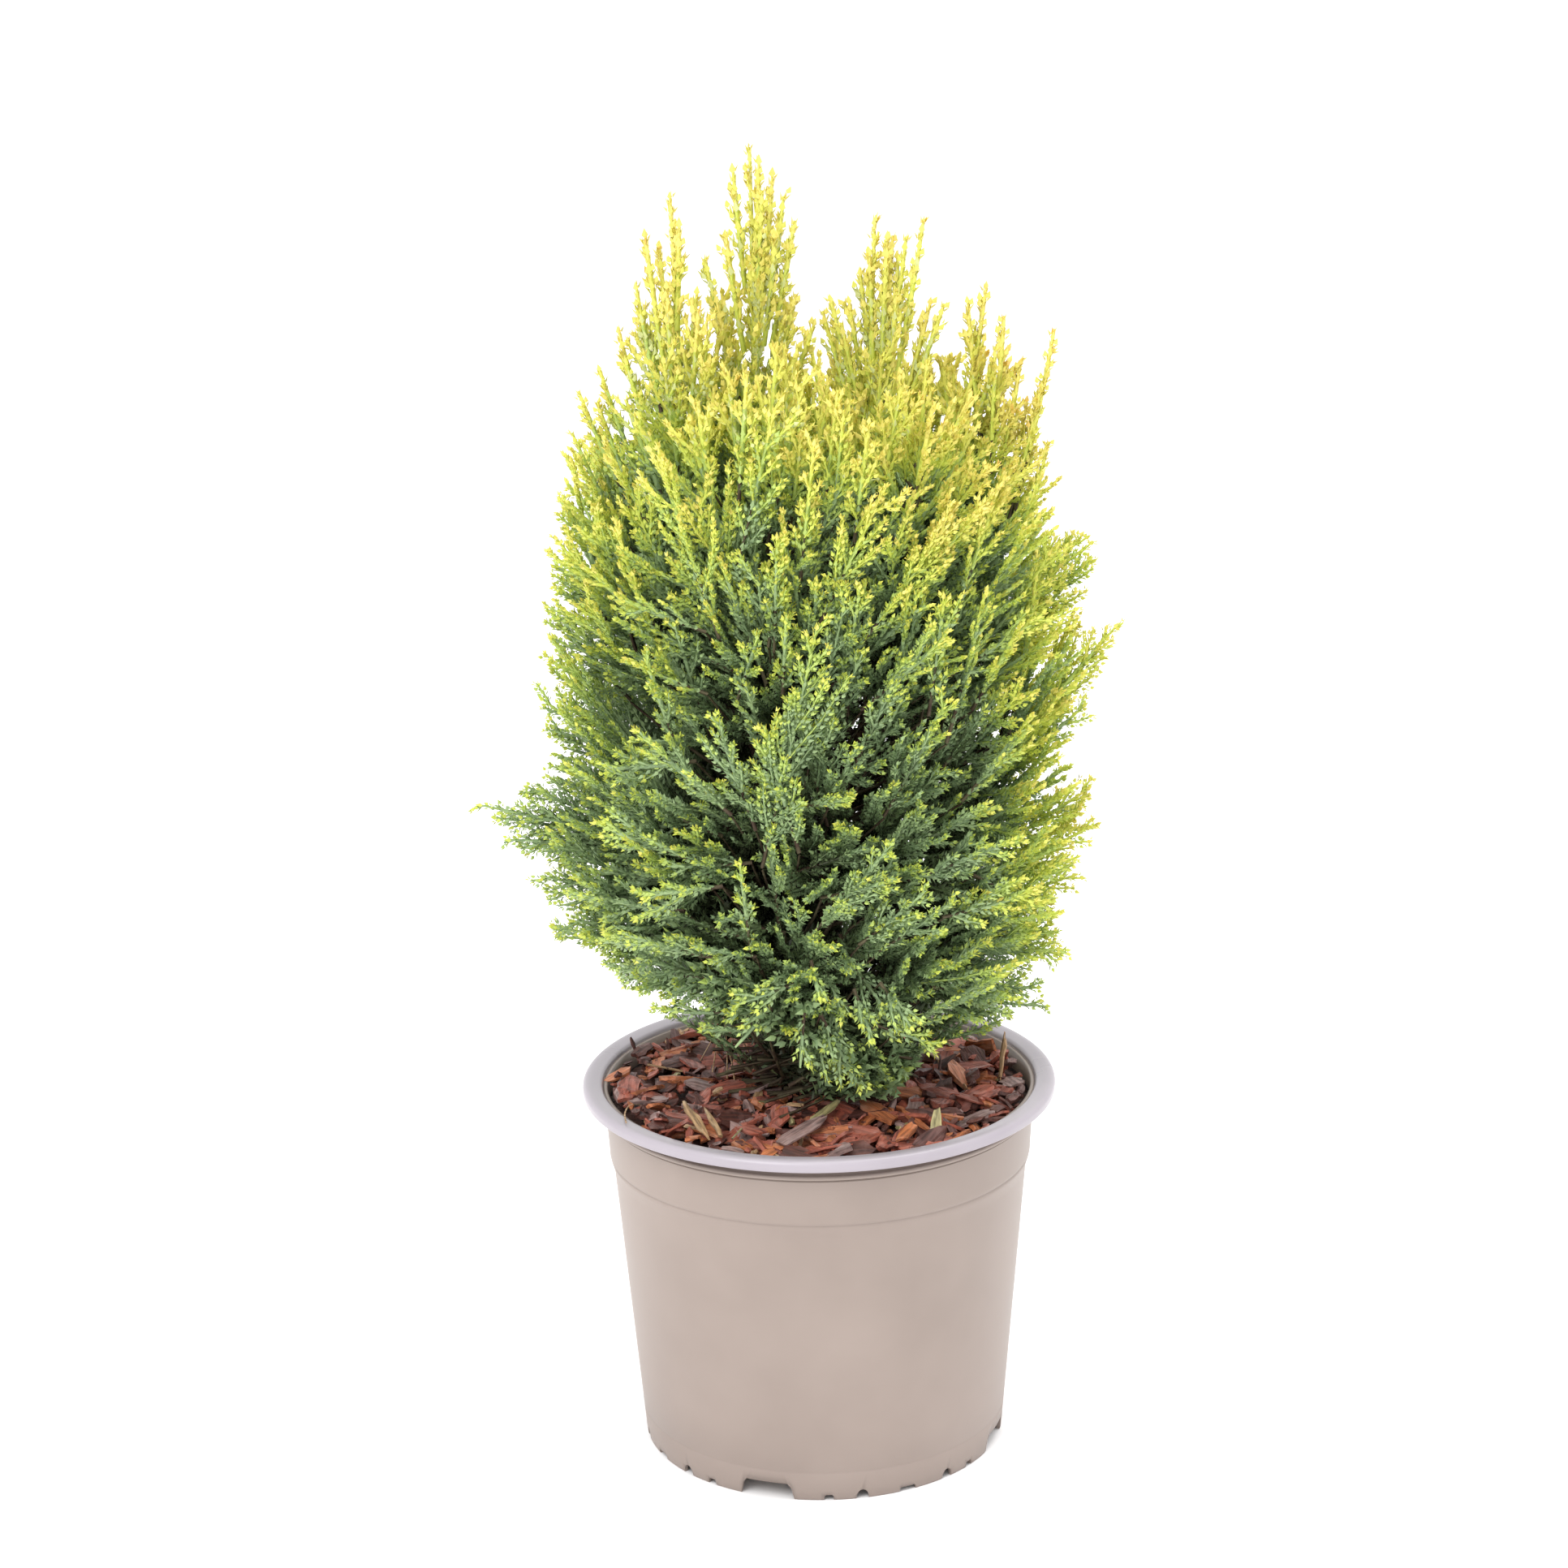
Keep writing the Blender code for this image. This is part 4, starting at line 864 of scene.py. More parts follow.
def trunk_radius(height):
    foot = TRUNK_LINE[0].z
    share = min((height - foot) / (TRUNK_LINE[-1].z - foot), 1)
    taper = between(TRUNK_TIP_RADIUS, TRUNK_FOOT_RADIUS, (1 - share) ** 0.9)
    return taper + ROOT_FLARE * math.exp(-(height - foot) / FLARE_HEIGHT)


def bough_path(azimuth, foot_height, tip, arrive):
    """Out of the trunk level, then up in one bend to the tip, which it reaches along "arrive"."""
    trunk = trunk_at(foot_height)
    grain = (trunk_at(foot_height + 2 * MM) - trunk).normalized()
    level = direction(azimuth)
    outward = (level - grain * level.dot(grain)).normalized()
    start = trunk + outward * (trunk_radius(foot_height - BOUGH_ROOT_RADIUS) - 0.5 * MM)
    reach = (tip - start).length
    path = [start, start + outward * 1.6 * MM]
    last_stretch = tip - arrive * LAST_STRETCH
    handle_a = path[1] + (outward * 0.8 + Vector((0, 0, 0.6))) * reach * 0.28
    handle_b = last_stretch - arrive * reach * 0.34
    for k in range(1, 7):
        t = k / 6
        s = 1 - t
        leaving = path[1] * s ** 3 + handle_a * 3 * s * s * t
        path.append(leaving + handle_b * 3 * s * t * t + last_stretch * t ** 3)
    path.append(tip)
    return path


def bark_tube(points, radii, sides, relief, seed):
    """Points and faces of a limb with shallow ridges and cracks along its bark."""
    flat = []
    one = Vector((0.31, -0.22, 0.1))
    for k, (centre, radius) in enumerate(zip(points, radii)):
        along = (points[min(k + 1, len(points) - 1)] - points[max(k - 1, 0)]).normalized()
        one = (one - along * one.dot(along)).normalized()
        other = along.cross(one)
        knot = max(0.0, noise.noise(Vector((seed, centre.z * 160, 0))) - 0.25)
        for side in range(sides):
            turn = TURN * side / sides
            out = one * math.cos(turn) + other * math.sin(turn)
            where = Vector((math.cos(turn) * 2.2, math.sin(turn) * 2.2, centre.z * 90 + seed))
            ridge = abs(noise.noise(where)) * 1.6 + 0.35 * noise.noise(where * 3.1)
            flat.append(centre + out * (radius * (1 + relief * (ridge - 0.45) + 0.5 * knot)))
    faces = band_faces(len(points), sides)
    faces.append(tuple(range(sides))[::-1])
    faces.append(tuple(range(len(flat) - sides, len(flat))))
    return flat, faces


def cone_height(cone, radius):
    """Height of a cone at a radius, both in millimetres."""
    return cone["rise"] + cone["slope"] * radius


def tier_plan():
    """Each tier mass: its tier's number, azimuth, the bough's tip and the direction it arrives in."""
    cones = TIERS + [LEADER_CONE]
    for number, (tier, upper) in enumerate(zip(cones, cones[1:])):
        low = max(cone_height(tier, BOUGH_REACH / MM) * MM, LOWEST_MASS)
        high = cone_height(upper, BOUGH_REACH / MM) * MM
        for sector in range(SECTORS):
            azimuth = math.radians((180 + tier["turn"] + 360 * sector // SECTORS) % 360)
            tip = direction(azimuth) * BOUGH_REACH + Vector((0, 0, (low + high) / 2))
            yield number, azimuth, tip, direction(azimuth, math.radians(tier["lift"]))


class CYPRESS_OT_wood(bpy.types.Operator):
    """Builds the trunk and the boughs with bark relief"""

    bl_idname = "cypress.wood"
    bl_label = "Build wood"

    def execute(self, context):
        foot = TRUNK_LINE[0].z
        heights = [between(foot, TRUNK_LINE[-1].z, k / 120) for k in range(121)]
        limbs = [(list(map(trunk_at, heights)), list(map(trunk_radius, heights)), 26, 0.2)]
        paths = []
        for number, azimuth, tip, arrive in tier_plan():
            paths.append(bough_path(azimuth, TIERS[number]["bough_foot"] * MM, tip, arrive))
        for degrees, root, tip, _ in LEADERS.values():
            if root:
                arrive = direction(math.atan2(tip[1], tip[0]), LEADER_BOUGH_LIFT)
                paths.append(bough_path(math.radians(degrees), root * MM, Vector(tip) * MM, arrive))
        steps = 30
        radii = [between(BOUGH_ROOT_RADIUS, BOUGH_TIP_RADIUS, k / steps) for k in range(steps + 1)]
        for path in paths:
            places = [curve_point(path, (len(path) - 1) * k / steps) for k in range(steps + 1)]
            limbs.append((places, radii, 9, 0.16))
        points, faces = [], []
        for number, limb in enumerate(limbs):
            tube_points, tube_faces = bark_tube(*limb, 3.1 * number)
            first = len(points)
            points.extend(tube_points)
            faces.extend([tuple(first + k for k in face) for face in tube_faces])
        mesh = mesh_of("trunk_and_boughs", points, faces, smooth=True)
        material, shader, place = new_material("brown_bark", 0.8, 0.3)
        stretched = place.node("ShaderNodeMapping", Vector=place, Scale=(420, 420, 70))
        fibre = stretched.noise(1.0, 5.0)
        # The bark's browns are darkened well below its own colour: painted shade inside the crown.
        feed(shader, "Base Color", fibre.ramp(0.3, 0.68).mixed((0.022, 0.012, 0.008), (0.09, 0.05, 0.03)))
        feed(shader, "Normal", fibre.bump(0.5, 0.0008))
        woody = [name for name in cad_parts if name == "trunk" or name.startswith("bough_")]
        add_piece("trunk_and_boughs", mesh, material, "bark", woody)
        return {"FINISHED"}


def outline_reach(height, azimuth):
    """Half-width of the crown at a height and azimuth, for single values or arrays, in millimetres."""
    levels, left, right = zip(*OUTLINE)
    left, right = np.interp(height, levels, left), np.interp(height, levels, right)
    rightness = (1 + np.cos(azimuth)) / 2
    return between(left, right, rightness) * (1 - FLATTER * np.sin(azimuth) ** 2)


def underside(points):
    """Height of the crown's open underside at each point, in millimetres."""
    across, heights = zip(*UNDERSIDE)
    return np.interp(points[:, 0], across, heights) - UNDERSIDE_RISE * points[:, 1]


def outwardness(points):
    """How far out each point lies, from 0 on the crown's axis to 1 on its outline."""
    azimuth = np.arctan2(points[:, 1], points[:, 0])
    return np.hypot(points[:, 0], points[:, 1]) / outline_reach(points[:, 2], azimuth)


def unit(vectors):
    return vectors / np.maximum(np.linalg.norm(vectors, axis=-1, keepdims=True), 1e-9)


def ramp(values, start, full):
    """The values stretched so that start becomes 0 and full becomes 1, held between them."""
    return np.clip((values - start) / (full - start), 0, 1)


def topness(height):
    """0 in the feathery crown, 1 on its cord-like leading shoots."""
    return ramp(height, *LEADING_HEIGHTS)


def away(turn, lift=0.0):
    """The direction outward at an azimuth, as an array."""
    return np.array(direction(turn, lift))


def on_ring(radius, turn, height):
    return np.array([radius * math.cos(turn), radius * math.sin(turn), height])


class Shoots:
    """Many shoots of one order: where each starts and heads, how it bends, and its length in mm."""

    def __init__(self, *columns):
        for key, column in zip(SHOOT_KEYS, columns):
            setattr(self, key, np.asarray(column, float))
        self.heading = unit(self.heading)
        self.face = unit(self.face)

    def point(self, rows, share):
        share = share[:, None]
        return self.start[rows] + self.length[rows, None] * (
            self.heading[rows] * share + self.bend[rows] * share ** 2 / 2
        )

    def tangent(self, rows, share):
        return unit(self.heading[rows] + self.bend[rows] * share[:, None])

    def across(self, rows, tangent):
        """The face and the side of each shoot, square to its tangent."""
        face = self.face[rows]
        face = unit(face - tangent * np.sum(face * tangent, 1, keepdims=True))
        return face, np.cross(tangent, face)

    def ends(self):
        return self.point(np.arange(len(self.length)), np.ones(len(self.length)))

    def kept(self, keep):
        return Shoots(*(getattr(self, key)[keep] for key in SHOOT_KEYS))


def part_of(shoots, low, high):
    """The stretch of each shoot between two shares of its length."""
    rows = np.arange(len(shoots.length))
    part = shoots.kept(rows)
    part.start = shoots.point(rows, low)
    part.heading = shoots.heading + shoots.bend * low[:, None]
    part.bend = shoots.bend * (high - low)[:, None]
    part.length = shoots.length * (high - low)
    part.age = shoots.age + shoots.length * (1 - high)
    return part


def joined_shoots(groups):
    return Shoots(*(np.concatenate([getattr(group, key) for group in groups]) for key in SHOOT_KEYS))


def spray_profile(share):
    return np.clip(0.55 + 1.3 * share, 0, 1) * np.clip(1.22 - share, 0.12, 1)


def twig_profile(share):
    return np.clip(0.7 + 1.4 * share, 0, 1) * np.clip(1.45 - share, 0.45, 1)


def numbered(counts):
    """For counts of things on each shoot: the shoot of every thing, and its number on it."""
    rows = np.repeat(np.arange(len(counts)), counts)
    return rows, np.arange(len(rows)) - np.repeat(np.cumsum(counts) - counts, counts)


def side_shoots(parents, kind, profile, rough, ageing, spiral=0.0, lift=0.12, top_spacing=1.3, uneven=0.15,
                wobble=0.1):
    """Side shoots along every parent: alternate and nearly in its plane, or turned by a spiral."""
    spacing, angle = kind
    top = topness(parents.start[:, 2] + parents.length * 0.4)
    apart = spacing * (1 + (top_spacing - 1) * top)
    counts = np.maximum(((1 - parents.bare) * parents.length / apart).astype(int), 0)
    rows, number = numbered(counts)
    share = (number + 0.4 + rough.uniform(-0.36, 0.36, len(rows))) / np.maximum(counts[rows], 1)
    along = parents.bare[rows] + (1 - parents.bare[rows]) * share
    tangent = parents.tangent(rows, along)
    face, side = parents.across(rows, tangent)
    roll = np.where(number % 2 == 0, 0.0, math.pi) + rough.normal(0, 0.2, len(rows)) + spiral * number
    out = side * np.cos(roll)[:, None] + face * np.sin(roll)[:, None]
    spread = np.radians(angle) * (1 - 0.25 * top[rows]) * rough.uniform(1 - uneven, 1 + uneven, len(rows))
    heading = tangent * np.cos(spread)[:, None] + out * np.sin(spread)[:, None]
    heading = heading + face * rough.normal(lift, wobble, len(rows))[:, None]
    size = parents.reach[rows] * profile(share) * rough.uniform(1 - uneven, 1 + uneven, len(rows))
    size = size * np.where(rough.uniform(0, 1, len(rows)) < LONG_SHARE, 1.5, 1)
    low = ramp(parents.start[rows, 2], 320, 230)
    own_reach = np.minimum(1.8 + 0.1 * size, 4.3) * (1 + 0.9 * top[rows] + 0.22 * low)
    new_face = unit(np.cross(out, tangent) * 0.15 + face + rough.normal(0, 0.16, face.shape))
    flip = np.sign(np.sum(new_face * face, 1, keepdims=True))
    return Shoots(
        parents.point(rows, along), heading, new_face * flip, (tangent - unit(heading)) * 0.55,
        size, np.zeros(len(rows)), parents.hue[rows] + rough.normal(0, 0.02, len(rows)),
        parents.age[rows] + ageing * (1 - along) * parents.length[rows], own_reach,
    )


def leaves_of(shoots, step, length, cord):
    """Opposite pairs of scale leaves, turned a quarter at each pair: kites that clasp their shoot."""
    top = topness(shoots.start[:, 2])
    counts = np.round(shoots.length * (1 - shoots.bare) / (step * (1 + 0.3 * top))).astype(int)
    rows, number = numbered(counts)
    share = shoots.bare[rows] + (1 - shoots.bare[rows]) * (number + 0.4) / np.maximum(counts[rows], 1)
    centre = shoots.point(rows, share)
    tangent = shoots.tangent(rows, share)
    face, side = shoots.across(rows, tangent)
    awl_like = ramp(centre[:, 2], *AWL_HEIGHTS)
    from_tip = (1 - share) * shoots.length[rows]
    spread = np.radians(5 + 15 * awl_like) * np.clip(0.3 + from_tip / 4, 0.3, 1)
    size = length * np.clip(0.58 + from_tip / 6, 0.58, 1.0) * (1 + 0.3 * top[rows])
    radius = (cord * (1 + 0.45 * top[rows]))[:, None]
    across_pair = (number % 2 == 0)[:, None]
    kites = []
    for hand in (-1, 1):
        out = np.where(across_pair, side, face) * hand
        heading = tangent * np.cos(spread)[:, None] + out * np.sin(spread)[:, None]
        half = np.cross(heading, out) * radius
        base = centre + out * radius * 0.7
        tip = base + heading * size[:, None] + out * radius * 0.1
        middle = centre + heading * (size * 0.3)[:, None] + out * radius * 0.15
        kites.append(np.stack([base, middle + half, tip, middle - half], 1))
    return np.concatenate(kites), np.concatenate([from_tip, from_tip]), np.concatenate([rows, rows])


def cores_of(shoots, radius_start, radius_end, segments):
    """Three-sided tapering cores of the shoots: points (n, rings, 3, xyz)."""
    rows = np.arange(len(shoots.length))
    rings = []
    for k in range(segments + 1):
        share = shoots.bare * 0 + k / segments
        centre = shoots.point(rows, share)
        face, side = shoots.across(rows, shoots.tangent(rows, share))
        radius = between(radius_start, radius_end, k / segments)
        radius = (radius * (1 + 0.4 * topness(centre[:, 2])))[:, None]
        turns = [TURN * corner / 3 for corner in range(3)]
        ring = [centre + (side * math.cos(turn) + face * math.sin(turn)) * radius for turn in turns]
        rings.append(np.stack(ring, 1))
    return np.stack(rings, 1)


def core_faces(count, rings, first=0):
    """Triangles of many three-sided cores, whose points follow ring by ring."""
    base = first + 3 * rings * np.arange(count)[:, None]
    faces = []
    for k in range(rings - 1):
        for corner in range(3):
            a, b = 3 * k + corner, 3 * k + (corner + 1) % 3
            faces += [base + np.array([a, b, b + 3]), base + np.array([a, b + 3, a + 3])]
    return faces


def flow_lift(height, radius):
    """How steeply the plumes rise at a place, in radians: along the cones, upright among leaders."""
    cones = TIERS + [LEADER_CONE]
    if height < cone_height(cones[0], radius):
        return LOWEST_LIFT
    for lower, upper in zip(cones, cones[1:]):
        above = cone_height(upper, radius) - height
        if above > 0:
            below = height - cone_height(lower, radius)
            return math.atan(lower["slope"] + (upper["slope"] - lower["slope"]) * below / (below + above))
    beyond = height - cone_height(LEADER_CONE, radius)
    return min(math.atan(LEADER_CONE["slope"]) + beyond / 90, STEEPEST_LIFT)


def plume(start, tip, heading, face, bare, hue, longest=None):
    """One axis from its root to its tip, which it reaches along the heading."""
    start, tip, heading = np.asarray(start, float), np.asarray(tip, float), np.asarray(heading, float)
    length = np.linalg.norm(tip - start)
    chord = (tip - start) / length
    bend = np.clip(heading - chord, -0.9, 0.9)
    first = chord - bend / 2
    along = length * np.linalg.norm(first)
    if longest is None:
        longest = min(0.44 * length, 44)
    return start, first, face, bend, along, bare, hue, 0.0, longest


def on_front(across, height, depth):
    """The point of the crown's front face, drawn in by a share of its reach, in millimetres."""
    azimuth = -TURN / 4
    for _ in range(4):
        reach = outline_reach(height, azimuth) * depth
        azimuth = -math.acos(max(-0.999, min(0.999, across / reach)))
    return np.array([across, reach * math.sin(azimuth), height])


def gathered(plumes):
    return Shoots(*(np.array(column, float) for column in zip(*plumes)))


def tier_plumes(rough):
    """Flat plumes of the tiers, from each bough's tip to the outline, drawn in behind the front's."""
    plumes = []
    for number, azimuth, bough_tip, _ in tier_plan():
        tier, upper = (TIERS + [LEADER_CONE])[number:number + 2]
        root = np.array(bough_tip) / MM
        count = tier["plumes"]
        for k in range(count):
            across = ((k * GOLDEN_SHARE + rough.uniform(-0.06, 0.06)) % 1) * 2 - 1
            high = (k + 0.5) / count + rough.uniform(-0.08, 0.08)
            turn = azimuth + across * HALF_SECTOR * 1.02
            depth = rough.uniform(*(TIER_DEPTHS if k % 4 else DEEPER_DEPTHS))
            depth -= FRONT_DRAWN_IN * min(1, 2 * max(0.0, -math.sin(turn) - 0.55) / 0.45)
            radius = 90.0
            for _ in range(6):
                low = max(cone_height(tier, radius), SOIL_TOP - 1)
                height = between(low, cone_height(upper, radius), high)
                radius = outline_reach(height, turn) * depth
            tip = on_ring(radius, turn, height)
            lift = flow_lift(height, radius) + math.radians(STEEPER[number])
            heading = direction(turn + rough.normal(0, 0.2), lift + rough.normal(0, 0.16))
            lean = rough.normal(0, 0.75)
            face = away(turn, lift + TURN / 4) * -math.cos(lean) + away(turn + TURN / 4) * math.sin(lean)
            begin = between(root, tip, 0.06) + rough.normal(0, 1.5, 3)
            bare = max(0.1, 1 - LONGEST_GREEN / np.linalg.norm(tip - begin))
            plumes.append(plume(begin, tip, heading, face, bare, rough.normal(0, 0.05)))
    return plumes


def stalk_to(root):
    """A bare stalk from near the crown's axis out to the root of a plume."""
    inner = np.array([root[0] * 0.3 - 8, root[1] * 0.3, max(root[2] - 34, 150)])
    return plume(inner, root, unit(root - inner) + np.array([0, 0, 0.3]), TO_FRONT, 1.0, 0.0, 1.0)


def placed_plumes(rough):
    """The plumes that the front shows one by one, and the lone sprays that stand out of the outline."""
    plumes = []
    for root_x, root_z, tip_x, tip_z, longest in FRONT_PLUMES:
        for layer in range(2):
            aside = layer * (11 if root_x < 0 else -11)
            root = on_front(root_x + aside, root_z + 6 * layer, FRONT_ROOT_DEPTH - 0.14 * layer)
            tip = on_front(tip_x + aside, tip_z + 9 * layer, FRONT_TIP_DEPTH - 0.13 * layer)
            outward = unit(np.array([tip[0], tip[1], 0.0]))
            heading = unit(tip - root) + np.array([0, 0, 0.12])
            face = outward + np.array([0, 0, -0.3]) + rough.normal(0, 0.22 + 0.2 * layer, 3)
            # The second layer, behind the first, takes darker tints: painted shade.
            hue = rough.normal(0.01 - 0.04 * layer, 0.04)
            plumes.append(plume(root, tip, heading, face, 0.06, hue, max(longest, 16 * layer)))
            plumes.append(stalk_to(root))
    for *tip, length, lift in LONE_SPRAYS:
        heading = away(math.atan2(tip[1], tip[0]), math.radians(lift))
        start = np.array(tip, float) - heading * length * 1.1
        plumes.append(plume(start, tip, heading, (0, -1, 0.35), 0.12, rough.normal(0, 0.04), 0.52 * length))
        plumes.append(stalk_to(start))
    return plumes


def inner_plumes(rough):
    """Plumes of old growth deep in the crown, which close it to the light; their tints are lowered a little,
    as painted shade.
    """
    plumes = []
    for k in range(INNER_PLUMES + BACK_PLUMES):
        share = k * GOLDEN_SHARE % 1
        height = between(*INNER_HEIGHTS, share ** 1.35)
        turn = k * GOLDEN_TURN
        if k >= INNER_PLUMES:
            height = between(*BACK_HEIGHTS, share)
            turn = TURN / 4 + math.radians(58 + 18 * math.sin(k)) * (1 if k % 2 else -1)
        behind = math.sin(turn) > 0.2
        radius = outline_reach(height, turn) * (rough.uniform(*INNER_DEPTHS) + 0.12 * behind)
        tip = on_ring(radius, turn, height)
        lift = max(flow_lift(height, radius), 0) + rough.normal(0.1, 0.2)
        heading = away(turn + rough.normal(0, 0.5), lift)
        start = tip - heading * rough.uniform(*INNER_LENGTHS)
        start[2] = max(start[2], SOIL_TOP)
        face = away(turn, rough.normal(0.4, 0.6))
        longest = 33 if height < 250 else 24
        # Their tints are lowered a little: painted shade deep in the crown.
        plumes.append(plume(start, tip, heading, face, 0.1, rough.normal(-0.04, 0.03), longest))
    return plumes


def shell_plumes(rough):
    """Upright plumes all round the shoulders of the crown, like fingers side by side."""
    plumes = []
    for k in range(SHELL_PLUMES):
        height = between(*SHELL_HEIGHTS, k * GOLDEN_SHARE % 1)
        turn = k * GOLDEN_TURN
        tip = on_ring(outline_reach(height, turn) * rough.uniform(*SHELL_DEPTHS), turn, height)
        heading = away(turn + rough.normal(0, 0.3), math.radians(rough.uniform(*SHELL_LIFTS)))
        start = tip - heading * rough.uniform(*SHELL_LENGTHS) - away(turn) * 5
        face = away(turn + rough.normal(0, 0.4), -0.25)
        plumes.append(plume(start, tip, heading, face, 0.12, rough.normal(0, 0.04), SHELL_REACH))
        plumes.append(stalk_to(start))
    return plumes


def leader_plumes(rough):
    """The leading shoots with the round shoots beside them, and the flat plumes about their feet."""
    flat, round_ones = [], []
    for name, (_, _, low, high) in LEADERS.items():
        low, high = np.array(low, float), np.array(high, float)
        round_ones.append(plume(low, high, unit(high - low), TO_FRONT, 0.02, 0.0, LEADER_REACH))
        sides = LEADER_SIDE_TIPS.get(name, [])
        for *tip, length in sides:
            tip = np.array(tip, float)
            inward = (high - tip) * (1, 1, 0)
            start = tip - np.array([0, 0, 1.0]) * length * 1.2 + inward * 0.6
            heading = unit(tip - start + np.array([0, 0, length * 0.5]))
            hue = rough.normal(0, 0.04)
            round_ones.append(plume(start, tip, heading, TO_FRONT, 0.1, hue, SIDE_TIP_REACH))
        around = 11 if sides else 15
        for k in range(around):
            share = 0.16 + (0.46 if sides else 0.62) * k / around
            turn = k * GOLDEN_TURN + rough.uniform(-0.3, 0.3)
            spread = 27 * (1.15 - share) ** 1.3 if sides else 32 * (1.25 - share)
            tip = between(low, high, share + 0.12) + away(turn) * spread
            tip[2] = max(tip[2], 385 + rough.uniform(-8, 14))
            lift = flow_lift(tip[2], np.hypot(tip[0], tip[1]))
            start = between(low, high, max(share - 0.35, 0.0))
            heading = away(turn, max(lift, math.radians(62)))
            face = away(turn + rough.normal(0, 0.8))
            flat.append(plume(start, tip, heading, face, 0.14, rough.normal(0, 0.05)))
    return flat, round_ones


def leaf_growth_and_light(tips, old, hue):
    """How new and how lit each leaf looks, from 0 deep inside the crown to 1 at its golden top: its growth,
    with painted shade inside the crown and painted light at the top.
    """
    across, height = tips[:, 0], tips[:, 2]
    # Painted shade: the further inside the crown a leaf lies, the darker its tint; above about 345 mm the
    # leaves count as lit.
    exposure = np.clip((outwardness(tips) - 0.42) / 0.42, 0, 1.1)
    exposure = np.maximum(exposure, ramp(height, 345, 415))
    level = height + 0.35 * ramp(height, 360, 410) * np.clip(across, -60, 70)
    body, gain = (np.interp(level, LOOK_LEVELS, row) for row in (BODY_BY_HEIGHT, GAIN_BY_HEIGHT))
    newest = np.exp(-old / NEW_GROWTH)
    # The crown's right edge is made lighter, and a recess in its front darker, which is painted shade.
    right_edge = ramp(across, 54, 84) * ramp(height, 180, 220) * ramp(height, 380, 330)
    recess = np.exp(-(((across - 32) / 36) ** 2) - ((height - 300) / 48) ** 2) * (tips[:, 1] < 0)
    side = 0.15 * right_edge - 0.06 * recess
    return 0.1 + exposure * (body - 0.1 + side) + newest * (0.08 + exposure * (gain - 0.08)) + hue


